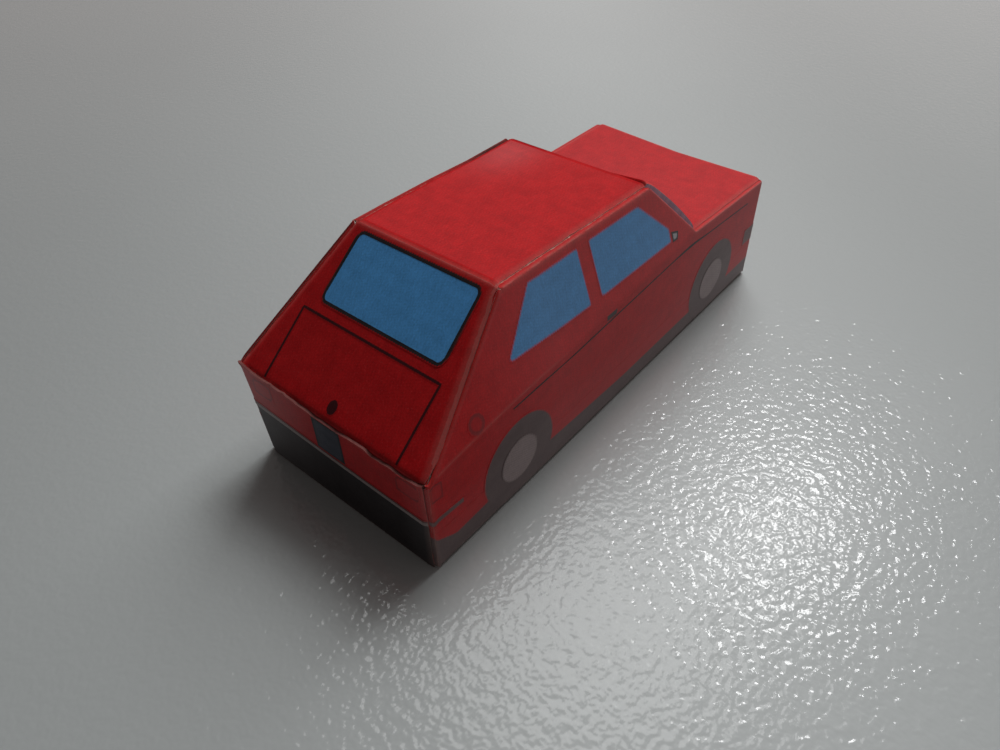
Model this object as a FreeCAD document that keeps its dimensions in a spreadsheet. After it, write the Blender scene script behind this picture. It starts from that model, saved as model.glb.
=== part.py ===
"""Small folded card model of a two-door hatchback car, in millimetres.

One printed strip of card runs from a closing tab over the hatch, roof, windscreen,
bonnet, nose and floor to the tail. Each side is one more sheet, creased at the belt
so that its upper part leans in, with glue tabs folded in under the strip.
Wheels, windows, lamps and bumpers are printed, and are let into the card as thin inlays.

Frame: +X to the nose, +Y to the car's left, +Z up, origin under the middle of the floor.
"""
import FreeCAD, Part
import os

import Sketcher

DOC = FreeCAD.newDocument("card_car")
SIZES = DOC.addObject("Spreadsheet::Sheet", "Sizes")

DIMENSIONS = {
    "overall_length": 49.6,
    "overall_width": 20.0,
    "card": 0.22,
    "tail_height": 9.6,
    "hatch_rise": 8.9,
    "belt_rise": 2.5,
    "screen_rise": 6.1,
    "nose_drop": 0.8,
    "hatch_run": 11.5,
    "roof_run": 18.9,
    "screen_run": 5.5,
    "side_lean": 19.5,
    "edge_setback": 0.42,
    "tab_width": 2.5,
    "tab_nip": 0.55,
    "tab_slant": 0.7,
    "closing_gap": 0.3,
    "ink": 0.04,
    "rear_window_sill_share": 0.51,
    "rear_window_head": 0.25,
    "rear_window_side_low": 1.46,
    "rear_window_side_high": 0.3,
    "rear_window_border": 0.36,
    "rear_window_corner": 0.75,
    "lid_foot": 0.06,
    "lid_window_gap": 0.5,
    "lid_side": 0.85,
    "lid_line": 0.22,
    "lock_rise": 0.62,
    "lock_radius": 0.5,
    "rear_window_shift": 0.15,
    "print_shift": 0.4,
    "bumper_drop": 4.0,
    "bumper_line": 0.32,
    "tail_plate_rise": 0.7,
    "tail_plate_drop": 0.6,
    "tail_plate_width": 3.15,
    "tail_lamp_rise": 1.75,
    "tail_lamp_drop": 0.4,
    "tail_lamp_edge": 0.2,
    "tail_lamp_width": 2.5,
    "window_sill": 0.6,
    "window_head": 0.85,
    "window_corner": 0.3,
    "quarter_pillar": 5.15,
    "quarter_sill_rise": 0.5,
    "quarter_top_inset": 2.6,
    "door_pillar_place": 8.6,
    "door_pillar": 1.3,
    "front_pillar": 2.4,
    "front_top_inset": 2.15,
    "window_shoulder": 1.3,
    "mirror_gap": 0.15,
    "mirror_length": 1.1,
    "mirror_foot": 0.82,
    "mirror_drop": 0.1,
    "mirror_rise": 1.0,
    "mirror_tip": 0.67,
    "handle_gap": 0.1,
    "handle_length": 1.5,
    "handle_drop": 0.05,
    "handle_depth": 0.6,
    "waist_drop_rear": 0.36,
    "waist_drop_front": 1.45,
    "waist_line": 0.14,
    "waist_rear": 9.4,
    "waist_front": 3.0,
    "rear_overhang": 9.95,
    "front_overhang": 9.0,
    "hub_height": 4.1,
    "hub_radius": 2.25,
    "arch_drop": 1.42,
    "sill_height": 2.3,
    "rear_wrap": 3.5,
    "rear_wrap_depth": 0.6,
    "front_wrap": 2.4,
    "front_bumper_drop": 4.9,
    "front_bumper_depth": 1.9,
    "lamp_wrap": 1.6,
    "filler_place": 5.7,
    "filler_rise": 1.1,
    "filler_radius": 0.85,
    "filler_line": 0.4,
    "screen_sill": 0.6,
    "screen_head": 0.45,
    "screen_side": 0.9,
    "screen_border": 0.35,
    "screen_corner": 0.6,
    "grille_rise": 0.8,
    "grille_drop": 1.1,
    "grille_gap": 0.3,
    "headlamp_edge": 0.6,
    "headlamp_width": 2.7,
    "headlamp_corner": 0.6,
    "nose_plate_hang": 1.1,
    "nose_plate_depth": 1.8,
    "nose_plate_width": 5.2,
    "largest_corner": 0.33,
}
for row, (alias, number) in enumerate(DIMENSIONS.items(), start=1):
    SIZES.set(f"A{row}", alias)
    SIZES.set(f"B{row}", str(number))
    SIZES.setAlias(f"B{row}", alias)
DOC.recompute()

NODES = {}
REACH = "(overall_length + overall_width)"

# The folded strip's outer corners in side view, in the order of the card from the closing
# tab round to the tail's cut top edge. Each is (along the car, height).
REAR = "-overall_length / 2"
ROOF_REAR = "(tail_height + hatch_rise)"
COWL = "(tail_height + belt_rise)"
ROOF_FRONT = f"({COWL} + screen_rise)"
NOSE_TOP = f"({COWL} - nose_drop)"
STRIP = [
    (f"{REAR} + card", "tail_height - tab_width"),
    (f"{REAR} + card", "tail_height"),
    (f"{REAR} + hatch_run", ROOF_REAR),
    (f"{REAR} + hatch_run + roof_run", ROOF_FRONT),
    (f"{REAR} + hatch_run + roof_run + screen_run", COWL),
    ("overall_length / 2", NOSE_TOP),
    ("overall_length / 2", "0"),
    (REAR, "0"),
    (REAR, "tail_height"),
]
CLOSING, HATCH, ROOF, SCREEN, BONNET, NOSE, FLOOR, TAIL = range(8)
PANEL_EDGES = [TAIL, HATCH, ROOF, SCREEN, BONNET, NOSE, FLOOR]

BELT_SLOPE = "(belt_rise / (hatch_run + roof_run + screen_run))"
BELT_AT_MIDDLE = f"(tail_height + overall_length / 2 * {BELT_SLOPE})"
LEAN_RISE = "(hatch_rise + screen_rise)"
FULL = "overall_width / 2"
HALF_STRIP = "(overall_width / 2 - edge_setback)"


def cells(formula):
    """The same formula with every alias written as a cell of the sheet."""
    words = sorted(DIMENSIONS, key=len, reverse=True)
    pieces = []
    word = ""
    for letter in formula + " ":
        if letter.isalnum() or letter == "_":
            word += letter
            continue
        pieces.append(f"Sizes.{word}" if word in words else word)
        pieces.append(letter)
        word = ""
    return "".join(pieces).strip()


def value(formula):
    return float(SIZES.evalExpression(cells(formula)))


def corner(point):
    return FreeCAD.Vector(value(point[0]), value(point[1]), 0)


def from_tail(distance):
    """A place along the car, given as a distance forward of the tail."""
    return f"({REAR} + {distance})"


def belt_at(distance):
    """The height of the belt crease at a distance forward of the tail."""
    return f"(tail_height + {distance} * {BELT_SLOPE})"


def hatch_at(height):
    """How far forward of the tail the hatch's face stands at a height."""
    return f"(card + (hatch_run - card) * ({height} - tail_height) / hatch_rise)"


def roof_at(distance):
    """The roof's height at a distance forward of the tail."""
    return f"({ROOF_REAR} + ({ROOF_FRONT} - {ROOF_REAR}) * ({distance} - hatch_run) / roof_run)"


def screen_at(height):
    """How far forward of the tail the windscreen's face stands at a height."""
    return f"(hatch_run + roof_run + screen_run * ({ROOF_FRONT} - {height}) / screen_rise)"


def half_at(distance, height):
    """Half the strip's width where it lies between the leaning sides."""
    lean = f"({height} - {belt_at(distance)}) * tan(side_lean * 1deg)"
    return f"({HALF_STRIP} - {lean})"


def new_body(name):
    body = DOC.addObject("PartDesign::Body", name)
    body.Label = name
    return body


def new_sketch(body, role):
    sketch = body.newObject("Sketcher::SketchObject", f"{body.Name}_sketch")
    plane = next(item for item in body.Origin.OriginFeatures if item.Role == role)
    sketch.AttachmentSupport = (plane, [""])
    sketch.MapMode = "FlatFace"
    return sketch


def bind(sketch, constraint, formula):
    index = sketch.addConstraint(constraint)
    sketch.setExpression(f"Constraints[{index}]", cells(formula))


def place(sketch, line, end, point):
    """Hold one end of a line at a point given by two formulas."""
    spot = corner(point)
    bind(sketch, Sketcher.Constraint("DistanceX", line, end, spot.x), point[0])
    bind(sketch, Sketcher.Constraint("DistanceY", line, end, spot.y), point[1])


def add_loop(sketch, points):
    """Draw a closed outline through fixed points, as vectors, and return its lines."""
    lines = []
    for start, stop in zip(points, points[1:] + points[:1]):
        lines.append(sketch.addGeometry(Part.LineSegment(start, stop), False))
    for line, following in zip(lines, lines[1:] + lines[:1]):
        sketch.addConstraint(Sketcher.Constraint("Coincident", line, 2, following, 1))
    return lines


def draw_outline(sketch, points):
    """Draw a closed outline whose corners are all bound to the sheet."""
    lines = add_loop(sketch, [corner(point) for point in points])
    for line, point in zip(lines, points):
        place(sketch, line, 1, point)


def pad_sketch(body, sketch, length, direction=None):
    pad = body.newObject("PartDesign::Pad", f"{body.Name}_pad")
    pad.Profile = sketch
    pad.SideType = "Symmetric"
    pad.setExpression("Length", cells(length))
    if direction:
        pad.UseCustomVector = True
        pad.Direction = FreeCAD.Vector(*(value(part) for part in direction))
        pad.setExpression("Direction.z", cells(direction[2]))
    DOC.recompute()
    return pad


def round_corners(body, pad, radius):
    """Round every edge that runs the way the sketch was padded."""
    along = FreeCAD.Vector(0, 1, 0) if "side" in body.Name else FreeCAD.Vector(1, 0, 0)
    names = []
    for index, edge in enumerate(pad.Shape.Edges, start=1):
        run = edge.Vertexes[-1].Point - edge.Vertexes[0].Point
        if run.cross(along).Length < 1e-6 * run.Length:
            names.append(f"Edge{index}")
    fillet = body.newObject("PartDesign::Fillet", f"{body.Name}_corners")
    fillet.Base = (pad, names)
    fillet.setExpression("Radius", cells(radius))
    body.Tip = fillet


def side_view_pad(name, points, radius=None):
    """A prism right across the car with an outline drawn in side view."""
    body = new_body(f"side_{name}")
    sketch = new_sketch(body, "XZ_Plane")
    draw_outline(sketch, points)
    pad = pad_sketch(body, sketch, REACH)
    if radius:
        round_corners(body, pad, radius)
    return body


def end_view_pad(name, points, radius=None):
    """A prism right along the car with an outline drawn in end view."""
    body = new_body(f"end_{name}")
    sketch = new_sketch(body, "YZ_Plane")
    draw_outline(sketch, points)
    pad = pad_sketch(body, sketch, REACH)
    if radius:
        round_corners(body, pad, radius)
    return body


def belt_prism(name, points):
    """A prism along the car that climbs with the belt crease, drawn at mid length."""
    body = new_body(name)
    sketch = new_sketch(body, "YZ_Plane")
    draw_outline(sketch, points)
    pad_sketch(body, sketch, REACH, direction=("1", "0", BELT_SLOPE))
    return body


def boolean(kind, name, base, tool):
    feature = DOC.addObject(f"Part::{kind}", name)
    feature.Base = base
    feature.Tool = tool
    feature.Label = name
    return feature


def group(name, members):
    compound = DOC.addObject("Part::Compound", name)
    compound.Links = members
    return compound


def mirror(name, source):
    copy = DOC.addObject("Part::Mirroring", name)
    copy.Source = source
    copy.Normal = FreeCAD.Vector(0, 1, 0)
    copy.Label = name
    return copy


def keep(name, feature):
    feature.Label = name
    NODES[name] = feature
    return feature


# Inner normal offsets of the folded section, used to start each sketch at its solution.

def heading(start, stop):
    run = stop - start
    return run / run.Length


def inset_corner(first, second, depth):
    """Where two of the strip's faces meet, once both are moved inward by a depth."""
    (a, b), (c, d) = first, second
    along_first, along_second = heading(a, b), heading(c, d)
    inward_first = FreeCAD.Vector(along_first.y, -along_first.x, 0)
    inward_second = FreeCAD.Vector(along_second.y, -along_second.x, 0)
    start = a + inward_first * depth
    other = c + inward_second * depth
    cross = along_first.x * along_second.y - along_first.y * along_second.x
    gap = other - start
    reach = (gap.x * along_second.y - gap.y * along_second.x) / cross
    return start + along_first * reach


def strip_face(edge):
    return corner(STRIP[edge]), corner(STRIP[edge + 1])


def guide_line(sketch, edge):
    """A construction line on one outer face of the strip."""
    start, stop = strip_face(edge)
    line = sketch.addGeometry(Part.LineSegment(start, stop), True)
    place(sketch, line, 1, STRIP[edge])
    place(sketch, line, 2, STRIP[edge + 1])
    return line


def inset_line(sketch, line, guide, depth):
    """Hold a line parallel to a guide and a bound depth inside it."""
    sketch.addConstraint(Sketcher.Constraint("Parallel", guide, line))
    bind(sketch, Sketcher.Constraint("Distance", line, 1, guide, value(depth)), depth)


def section_pad(name, depth, width):
    """A prism whose side view is the whole strip's section, inset by a depth."""
    body = new_body(name)
    sketch = new_sketch(body, "XZ_Plane")
    faces = [strip_face(edge) for edge in PANEL_EDGES]
    points = [
        inset_corner(faces[index - 1], faces[index], value(depth)) for index in range(len(faces))
    ]
    lines = add_loop(sketch, points)
    for line, edge in zip(lines, PANEL_EDGES):
        inset_line(sketch, line, guide_line(sketch, edge), depth)
    pad_sketch(body, sketch, width)
    return body


def folded_layer(name, edge, depth, square_start=False, square_stop=False):
    """One flat of the strip, from its outer face down to a depth, mitred at its folds."""
    body = new_body(name)
    sketch = new_sketch(body, "XZ_Plane")
    start, stop = strip_face(edge)
    along = heading(start, stop)
    inward = FreeCAD.Vector(along.y, -along.x, 0)
    deep = value(depth)
    inner_start = start + inward * deep
    inner_stop = stop + inward * deep
    if not square_start:
        inner_start = inset_corner(strip_face(edge - 1), (start, stop), deep)
    if not square_stop:
        inner_stop = inset_corner((start, stop), strip_face(edge + 1), deep)
    outer, far, inner, near = add_loop(sketch, [start, stop, inner_stop, inner_start])
    place(sketch, outer, 1, STRIP[edge])
    place(sketch, outer, 2, STRIP[edge + 1])
    inset_line(sketch, inner, outer, depth)
    for square, mitre, end, neighbour in (
        (square_stop, far, 2, edge + 1),
        (square_start, near, 1, edge - 1),
    ):
        if square:
            sketch.addConstraint(Sketcher.Constraint("Perpendicular", outer, mitre))
            continue
        guide = guide_line(sketch, neighbour)
        bind(sketch, Sketcher.Constraint("Distance", mitre, end, guide, deep), depth)
    pad_sketch(body, sketch, REACH)
    return body


def fold_half(point):
    """How far from the car's middle a side's outer face stands at a corner of the strip."""
    above_belt = f"{point[1]} - {belt_at(f'({point[0]} - ({REAR}))')}"
    return f"({FULL} - max(0; {above_belt}) * tan(side_lean * 1deg))"


def glue_tab(name, edge):
    """The right side's tab under one flat, drawn flat on that flat's inner face.

    Both ends are nipped short of the corners and slant in, so that two tabs never meet.
    """
    start, stop = STRIP[edge], STRIP[edge + 1]
    run, rise = f"({stop[0]} - ({start[0]}))", f"({stop[1]} - {start[1]})"
    length = f"sqrt({run} ^ 2 + {rise} ^ 2)"
    climb = f"mod(atan2({rise}; {run}) + 360deg; 360deg)"
    reach = "(card + tab_width)"
    body = new_body(name)
    sketch = new_sketch(body, "XY_Plane")
    draw_outline(sketch, [
        ("tab_nip", f"-{fold_half(start)}"),
        (f"{length} - tab_nip", f"-{fold_half(stop)}"),
        (f"{length} - tab_nip - tab_slant * {reach}", f"-{fold_half(stop)} + {reach}"),
        (f"tab_nip + tab_slant * {reach}", f"-{fold_half(start)} + {reach}"),
    ])
    pad = body.newObject("PartDesign::Pad", f"{name}_pad")
    pad.Profile = sketch
    pad.Reversed = True
    pad.setExpression("Length", cells("card"))
    turn = FreeCAD.Rotation(FreeCAD.Vector(0, -1, 0), value(climb))
    body.Placement = FreeCAD.Placement(FreeCAD.Vector(), turn)
    body.setExpression("Placement.Rotation.Angle", cells(climb))
    body.setExpression("Placement.Base.x", cells(f"{start[0]} + card * sin({climb})"))
    body.setExpression("Placement.Base.z", cells(f"{start[1]} - card * cos({climb})"))
    return body


# The space between the sides, from which each flat of the strip takes its width.

def leaning_y(inset):
    """How far out a face stands at the top of the leaning part, at mid length."""
    return f"(overall_width / 2 - {inset} - {LEAN_RISE} * tan(side_lean * 1deg))"


def side_band(name, outer, inner, outer_lean, inner_lean):
    """A band on the right side that stands up to the belt and leans in above it."""
    top = f"{BELT_AT_MIDDLE} + {LEAN_RISE}"
    points = [
        (f"-overall_width / 2 + {outer}", "-overall_width"),
        (f"-overall_width / 2 + {outer_lean}", BELT_AT_MIDDLE),
        (f"-{leaning_y(outer_lean)}", top),
        (f"-{leaning_y(inner_lean)}", top),
        (f"-overall_width / 2 + {inner_lean}", BELT_AT_MIDDLE),
        (f"-overall_width / 2 + {inner}", "-overall_width"),
    ]
    return belt_prism(name, points)


LEAN_CARD = "(card / cos(side_lean * 1deg))"
LEAN_INK = "(ink / cos(side_lean * 1deg))"

BETWEEN = belt_prism("between_sides", [
    ("-overall_width / 2 + edge_setback", "-overall_width"),
    ("-overall_width / 2 + edge_setback", BELT_AT_MIDDLE),
    (f"-{leaning_y('edge_setback')}", f"{BELT_AT_MIDDLE} + {LEAN_RISE}"),
    (leaning_y("edge_setback"), f"{BELT_AT_MIDDLE} + {LEAN_RISE}"),
    ("overall_width / 2 - edge_setback", BELT_AT_MIDDLE),
    ("overall_width / 2 - edge_setback", "-overall_width"),
])
INNER_SECTION = section_pad("inner_section", "card", REACH)


# Printed areas: an outline in one view, kept only in the outer skin of its flat.

def print_on(name, outline, skin):
    return boolean("Common", name, outline, skin)


def strip_skin(name, edge, **ends):
    return folded_layer(name, edge, "ink", **ends)


def box_points(left, right, low, high):
    return [(left, low), (right, low), (right, high), (left, high)]


def corner_within(radius, low, high):
    """A print's corner radius, held to a share of the print's height."""
    return f"min({radius}; ({high} - {low}) * largest_corner)"


# Hatch: rear window in its black rubber line, boot lid line and lock. The sheet was folded
# a little off its print, so that these and the tail's plate lie left of the middle.
HATCH_SKIN = strip_skin("hatch_skin", HATCH, square_start=True)
WINDOW_LOW = "(tail_height + hatch_rise * rear_window_sill_share)"
WINDOW_HIGH = f"({ROOF_REAR} - rear_window_head)"
WINDOW_CORNER = corner_within("rear_window_corner", WINDOW_LOW, WINDOW_HIGH)


def rear_window_points(border):
    """The rear window in end view: wider than the roof allows at its foot."""
    low = half_at(hatch_at(WINDOW_LOW), WINDOW_LOW)
    high = half_at(hatch_at(WINDOW_HIGH), WINDOW_HIGH)
    half_low = f"({low} - rear_window_side_low - {border})"
    half_high = f"({high} - rear_window_side_high - {border})"
    rise = f"{border} * sin(atan2(hatch_rise; hatch_run))"
    return [
        (f"rear_window_shift - {half_low}", f"{WINDOW_LOW} + {rise}"),
        (f"rear_window_shift + {half_low}", f"{WINDOW_LOW} + {rise}"),
        (f"rear_window_shift + {half_high}", f"{WINDOW_HIGH} - {rise}"),
        (f"rear_window_shift - {half_high}", f"{WINDOW_HIGH} - {rise}"),
    ]


window_outer = end_view_pad("rear_window_outer", rear_window_points("0"), WINDOW_CORNER)
window_inner = end_view_pad(
    "rear_window_inner", rear_window_points("rear_window_border"),
    f"{WINDOW_CORNER} * (1 - rear_window_border / rear_window_corner)",
)
window_whole = print_on("rear_window_whole", window_outer, HATCH_SKIN)
rear_glass = keep("rear_window_glass", print_on("rear_window_glass", window_inner, HATCH_SKIN))
rear_frame = keep("rear_window_frame", boolean("Cut", "rear_window_frame", window_whole, rear_glass))

LID_HIGH = f"({WINDOW_LOW} - lid_window_gap)"
LID_HALF = f"({half_at(hatch_at(LID_HIGH), LID_HIGH)} - lid_side)"
lid_outer = end_view_pad("lid_outer", box_points(
    f"print_shift - {LID_HALF}", f"print_shift + {LID_HALF}",
    "tail_height + lid_foot", LID_HIGH,
))
lid_inner = end_view_pad("lid_inner", box_points(
    f"print_shift - {LID_HALF} + lid_line", f"print_shift + {LID_HALF} - lid_line",
    "tail_height + lid_foot - lid_line", f"{LID_HIGH} - lid_line",
))
lid_whole = print_on("lid_whole", lid_outer, HATCH_SKIN)
lid_line = keep("hatch_lid_line", boolean("Cut", "hatch_lid_line", lid_whole, lid_inner))


def cylinder_along(name, axis, radius, position):
    """A round tool standing up ("Z") or lying across the car ("Y")."""
    tool = DOC.addObject("Part::Cylinder", name)
    tool.setExpression("Radius", cells(radius))
    tool.setExpression("Height", cells(REACH))
    angle = -90 if axis == "Y" else 0
    turn = FreeCAD.Rotation(FreeCAD.Vector(1, 0, 0), angle)
    tool.Placement = FreeCAD.Placement(FreeCAD.Vector(), turn)
    for letter, formula in zip("xyz", position):
        tool.setExpression(f"Placement.Base.{letter}", cells(formula))
    return tool


lock_spot = (from_tail(hatch_at("(tail_height + lock_rise)")), "print_shift", "0")
lock_tool = cylinder_along("lock_tool", "Z", "lock_radius", lock_spot)
lock = keep("hatch_lock", print_on("hatch_lock", lock_tool, HATCH_SKIN))
HATCH_PRINTS = [rear_glass, rear_frame, lid_line, lock]

# Tail: lamps and plate above a pale bumper line, black below it.
TAIL_SKIN = strip_skin("tail_skin", TAIL, square_stop=True)
BUMPER_TOP = "(tail_height - bumper_drop)"
BUMPER_LOW = f"({BUMPER_TOP} - bumper_line)"
LAMP_OUTER = f"({HALF_STRIP} - tail_lamp_edge)"
LAMP_LOW = f"({BUMPER_TOP} + tail_lamp_rise)"
LAMP_HIGH = "(tail_height - tail_lamp_drop)"


def end_print(name, skin, left, right, low, high, radius=None):
    """A printed box on the tail or nose, drawn in end view."""
    outline = end_view_pad(f"{name}_outline", box_points(left, right, low, high), radius)
    return print_on(name, outline, skin)


def full_width_print(name, skin, low, high, hole=None):
    """A printed stripe right across the strip, with a hole left for another print."""
    stripe = end_print(f"{name}_wide", skin, f"-{FULL}", FULL, low, high)
    if hole:
        stripe = boolean("Cut", f"{name}_cut", stripe, hole)
    return keep(name, boolean("Common", name, stripe, BETWEEN))


tail_valance = full_width_print("tail_valance", TAIL_SKIN, "-card", BUMPER_LOW)
rear_bumper = full_width_print("rear_bumper_line", TAIL_SKIN, BUMPER_LOW, BUMPER_TOP)
tail_plate = keep("tail_plate", end_print(
    "tail_plate", TAIL_SKIN,
    "print_shift - tail_plate_width / 2", "print_shift + tail_plate_width / 2",
    f"{BUMPER_TOP} + tail_plate_rise", "tail_height - tail_plate_drop",
))
lamp_right = end_print(
    "tail_lamp_right", TAIL_SKIN, f"-{LAMP_OUTER}", f"-{LAMP_OUTER} + tail_lamp_width",
    LAMP_LOW, LAMP_HIGH,
)
lamp_left = mirror("tail_lamp_left", lamp_right)
tail_lamps = keep("tail_lamps", group("tail_lamps", [lamp_right, lamp_left]))
TAIL_PRINTS = [tail_valance, rear_bumper, tail_plate, lamp_right, lamp_left]

# Windscreen: blue glass inside a dark line.
SCREEN_SKIN = strip_skin("screen_skin", SCREEN)
SCREEN_LOW = f"({COWL} + screen_sill)"
SCREEN_HIGH = f"({ROOF_FRONT} - screen_head)"


def screen_points(border):
    low = half_at(screen_at(SCREEN_LOW), SCREEN_LOW)
    high = half_at(screen_at(SCREEN_HIGH), SCREEN_HIGH)
    half_low = f"({low} - screen_side - {border})"
    half_high = f"({high} - screen_side - {border})"
    return [
        (f"-{half_low}", f"{SCREEN_LOW} + {border}"),
        (half_low, f"{SCREEN_LOW} + {border}"),
        (half_high, f"{SCREEN_HIGH} - {border}"),
        (f"-{half_high}", f"{SCREEN_HIGH} - {border}"),
    ]


screen_outer = end_view_pad("screen_outer", screen_points("0"), "screen_corner")
screen_inner = end_view_pad(
    "screen_inner", screen_points("screen_border"), "screen_corner - screen_border",
)
screen_whole = print_on("screen_whole", screen_outer, SCREEN_SKIN)
screen_glass = keep("windscreen_glass", print_on("windscreen_glass", screen_inner, SCREEN_SKIN))
screen_frame = keep("windscreen_frame", boolean("Cut", "windscreen_frame", screen_whole, screen_glass))
SCREEN_PRINTS = [screen_glass, screen_frame]

# Nose: grille between two lamps, a pale bumper with a blank plate, black below.
NOSE_SKIN = strip_skin("nose_skin", NOSE)
FRONT_BUMPER_TOP = f"({NOSE_TOP} - front_bumper_drop)"
FRONT_BUMPER_LOW = f"({FRONT_BUMPER_TOP} - front_bumper_depth)"
GRILLE_LOW = f"({FRONT_BUMPER_TOP} + grille_rise)"
GRILLE_HIGH = f"({NOSE_TOP} - grille_drop)"
HEADLAMP_OUTER = f"({HALF_STRIP} - headlamp_edge)"
GRILLE_HALF = f"({HEADLAMP_OUTER} - headlamp_width - grille_gap)"
PLATE_LOW = f"({FRONT_BUMPER_LOW} - nose_plate_hang)"

grille = keep("nose_grille", end_print(
    "nose_grille", NOSE_SKIN, f"-{GRILLE_HALF}", GRILLE_HALF, GRILLE_LOW, GRILLE_HIGH,
))
headlamp_right = end_print(
    "headlamp_right", NOSE_SKIN, f"-{HEADLAMP_OUTER}", f"-{HEADLAMP_OUTER} + headlamp_width",
    GRILLE_LOW, GRILLE_HIGH, corner_within("headlamp_corner", GRILLE_LOW, GRILLE_HIGH),
)
headlamp_left = mirror("headlamp_left", headlamp_right)
headlamps = keep("headlamps", group("headlamps", [headlamp_right, headlamp_left]))
plate = keep("nose_plate", end_print(
    "nose_plate", NOSE_SKIN, "-nose_plate_width / 2", "nose_plate_width / 2",
    PLATE_LOW, f"{PLATE_LOW} + nose_plate_depth",
))
front_bumper = full_width_print(
    "front_bumper", NOSE_SKIN, FRONT_BUMPER_LOW, FRONT_BUMPER_TOP, plate,
)
nose_valance = full_width_print("nose_valance", NOSE_SKIN, "-card", FRONT_BUMPER_LOW, plate)
NOSE_PRINTS = [grille, headlamp_right, headlamp_left, plate, front_bumper, nose_valance]


# The strip's own flats of card, cut to width and let in for their prints.

def strip_panel(name, edge, prints, **ends):
    flat = folded_layer(f"{name}_flat", edge, "card", **ends)
    trimmed = boolean("Common", f"{name}_trimmed", flat, BETWEEN)
    if not prints:
        return keep(name, trimmed)
    return keep(name, boolean("Cut", name, trimmed, group(f"{name}_prints", prints)))


strip_panel("hatch_panel", HATCH, HATCH_PRINTS, square_start=True)
strip_panel("roof_panel", ROOF, [])
strip_panel("windscreen_panel", SCREEN, SCREEN_PRINTS)
strip_panel("bonnet_panel", BONNET, [])
strip_panel("nose_panel", NOSE, NOSE_PRINTS)
strip_panel("floor_panel", FLOOR, [])
strip_panel("tail_panel", TAIL, TAIL_PRINTS, square_stop=True)

closing_flat = folded_layer("closing_flat", CLOSING, "card", square_start=True, square_stop=True)
CLOSING_HALF = f"({FULL} - card - tab_width - closing_gap)"
closing_room = end_view_pad("closing_room", box_points(
    f"-{CLOSING_HALF}", CLOSING_HALF, "-card", "tail_height - card - closing_gap",
))
keep("hatch_closing_tab", boolean("Common", "hatch_closing_tab", closing_flat, closing_room))

# Sides: the lower part stands up, the upper part leans in from the belt crease.
TOP = f"{BELT_AT_MIDDLE} + {LEAN_RISE}"


def lower_slab(name, depth):
    return belt_prism(name, [
        (f"-{FULL}", "-overall_width"),
        (f"-{FULL} + {depth}", "-overall_width"),
        (f"-{FULL} + {depth}", BELT_AT_MIDDLE),
        (f"-{FULL}", BELT_AT_MIDDLE),
    ])


def upper_slab(name, lean_depth):
    return belt_prism(name, [
        (f"-{FULL}", BELT_AT_MIDDLE),
        (f"-{FULL} + {lean_depth}", BELT_AT_MIDDLE),
        (f"-{leaning_y(lean_depth)}", TOP),
        (f"-{leaning_y('0')}", TOP),
    ])


lower_plate = boolean("Common", "lower_plate", INNER_SECTION, lower_slab("lower_slab", "card"))
upper_plate = boolean("Common", "upper_plate", INNER_SECTION, upper_slab("upper_slab", LEAN_CARD))
LOWER_SKIN = boolean("Common", "lower_skin", INNER_SECTION, lower_slab("lower_ink_slab", "ink"))
UPPER_SKIN = boolean("Common", "upper_skin", INNER_SECTION, upper_slab("upper_ink_slab", LEAN_INK))


def side_box(name, rear, front, low, high, skin, radius=None):
    outline = side_view_pad(name, box_points(from_tail(rear), from_tail(front), low, high), radius)
    return print_on(f"{name}_print", outline, skin)


SILL = f"({COWL} + window_sill)"
SHOULDER = f"({SILL} + window_shoulder)"
QUARTER_SILL = f"({SILL} + quarter_sill_rise)"
QUARTER_REAR = f"({hatch_at(QUARTER_SILL)} + quarter_pillar)"
QUARTER_TOP = "(hatch_run + quarter_top_inset)"
PILLAR_REAR = "(hatch_run + door_pillar_place)"
PILLAR_FRONT = f"({PILLAR_REAR} + door_pillar)"
WINDOW_FRONT = f"({screen_at(SHOULDER)} - front_pillar)"
WINDOW_TOP = "(hatch_run + roof_run - front_top_inset)"


def head_point(distance):
    """A corner of a side window's top edge, which runs level with the roof."""
    return from_tail(distance), f"({roof_at(distance)} - window_head)"


quarter = print_on("quarter_window", side_view_pad("quarter_window_outline", [
    (from_tail(QUARTER_REAR), QUARTER_SILL),
    (from_tail(PILLAR_REAR), SILL),
    head_point(PILLAR_REAR),
    head_point(QUARTER_TOP),
], "window_corner"), UPPER_SKIN)
front_window = print_on("front_window", side_view_pad("front_window_outline", [
    (from_tail(PILLAR_FRONT), SILL),
    (from_tail(WINDOW_FRONT), SILL),
    (from_tail(WINDOW_FRONT), SHOULDER),
    head_point(WINDOW_TOP),
    head_point(PILLAR_FRONT),
], "window_corner"), UPPER_SKIN)

# The door mirror is a small shape in the front window's lower corner, rounded at its nose.
MIRROR_REAR = f"({WINDOW_FRONT} + mirror_gap)"
MIRROR_LOW = f"({SILL} - mirror_drop)"
mirror_print = print_on("mirror_print", side_view_pad("mirror_outline", [
    (from_tail(MIRROR_REAR), MIRROR_LOW),
    (from_tail(f"{MIRROR_REAR} + mirror_foot"), MIRROR_LOW),
    (from_tail(f"{MIRROR_REAR} + mirror_length"), f"{MIRROR_LOW} + mirror_tip"),
    (from_tail(MIRROR_REAR), f"{MIRROR_LOW} + mirror_rise"),
]), UPPER_SKIN)

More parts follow.
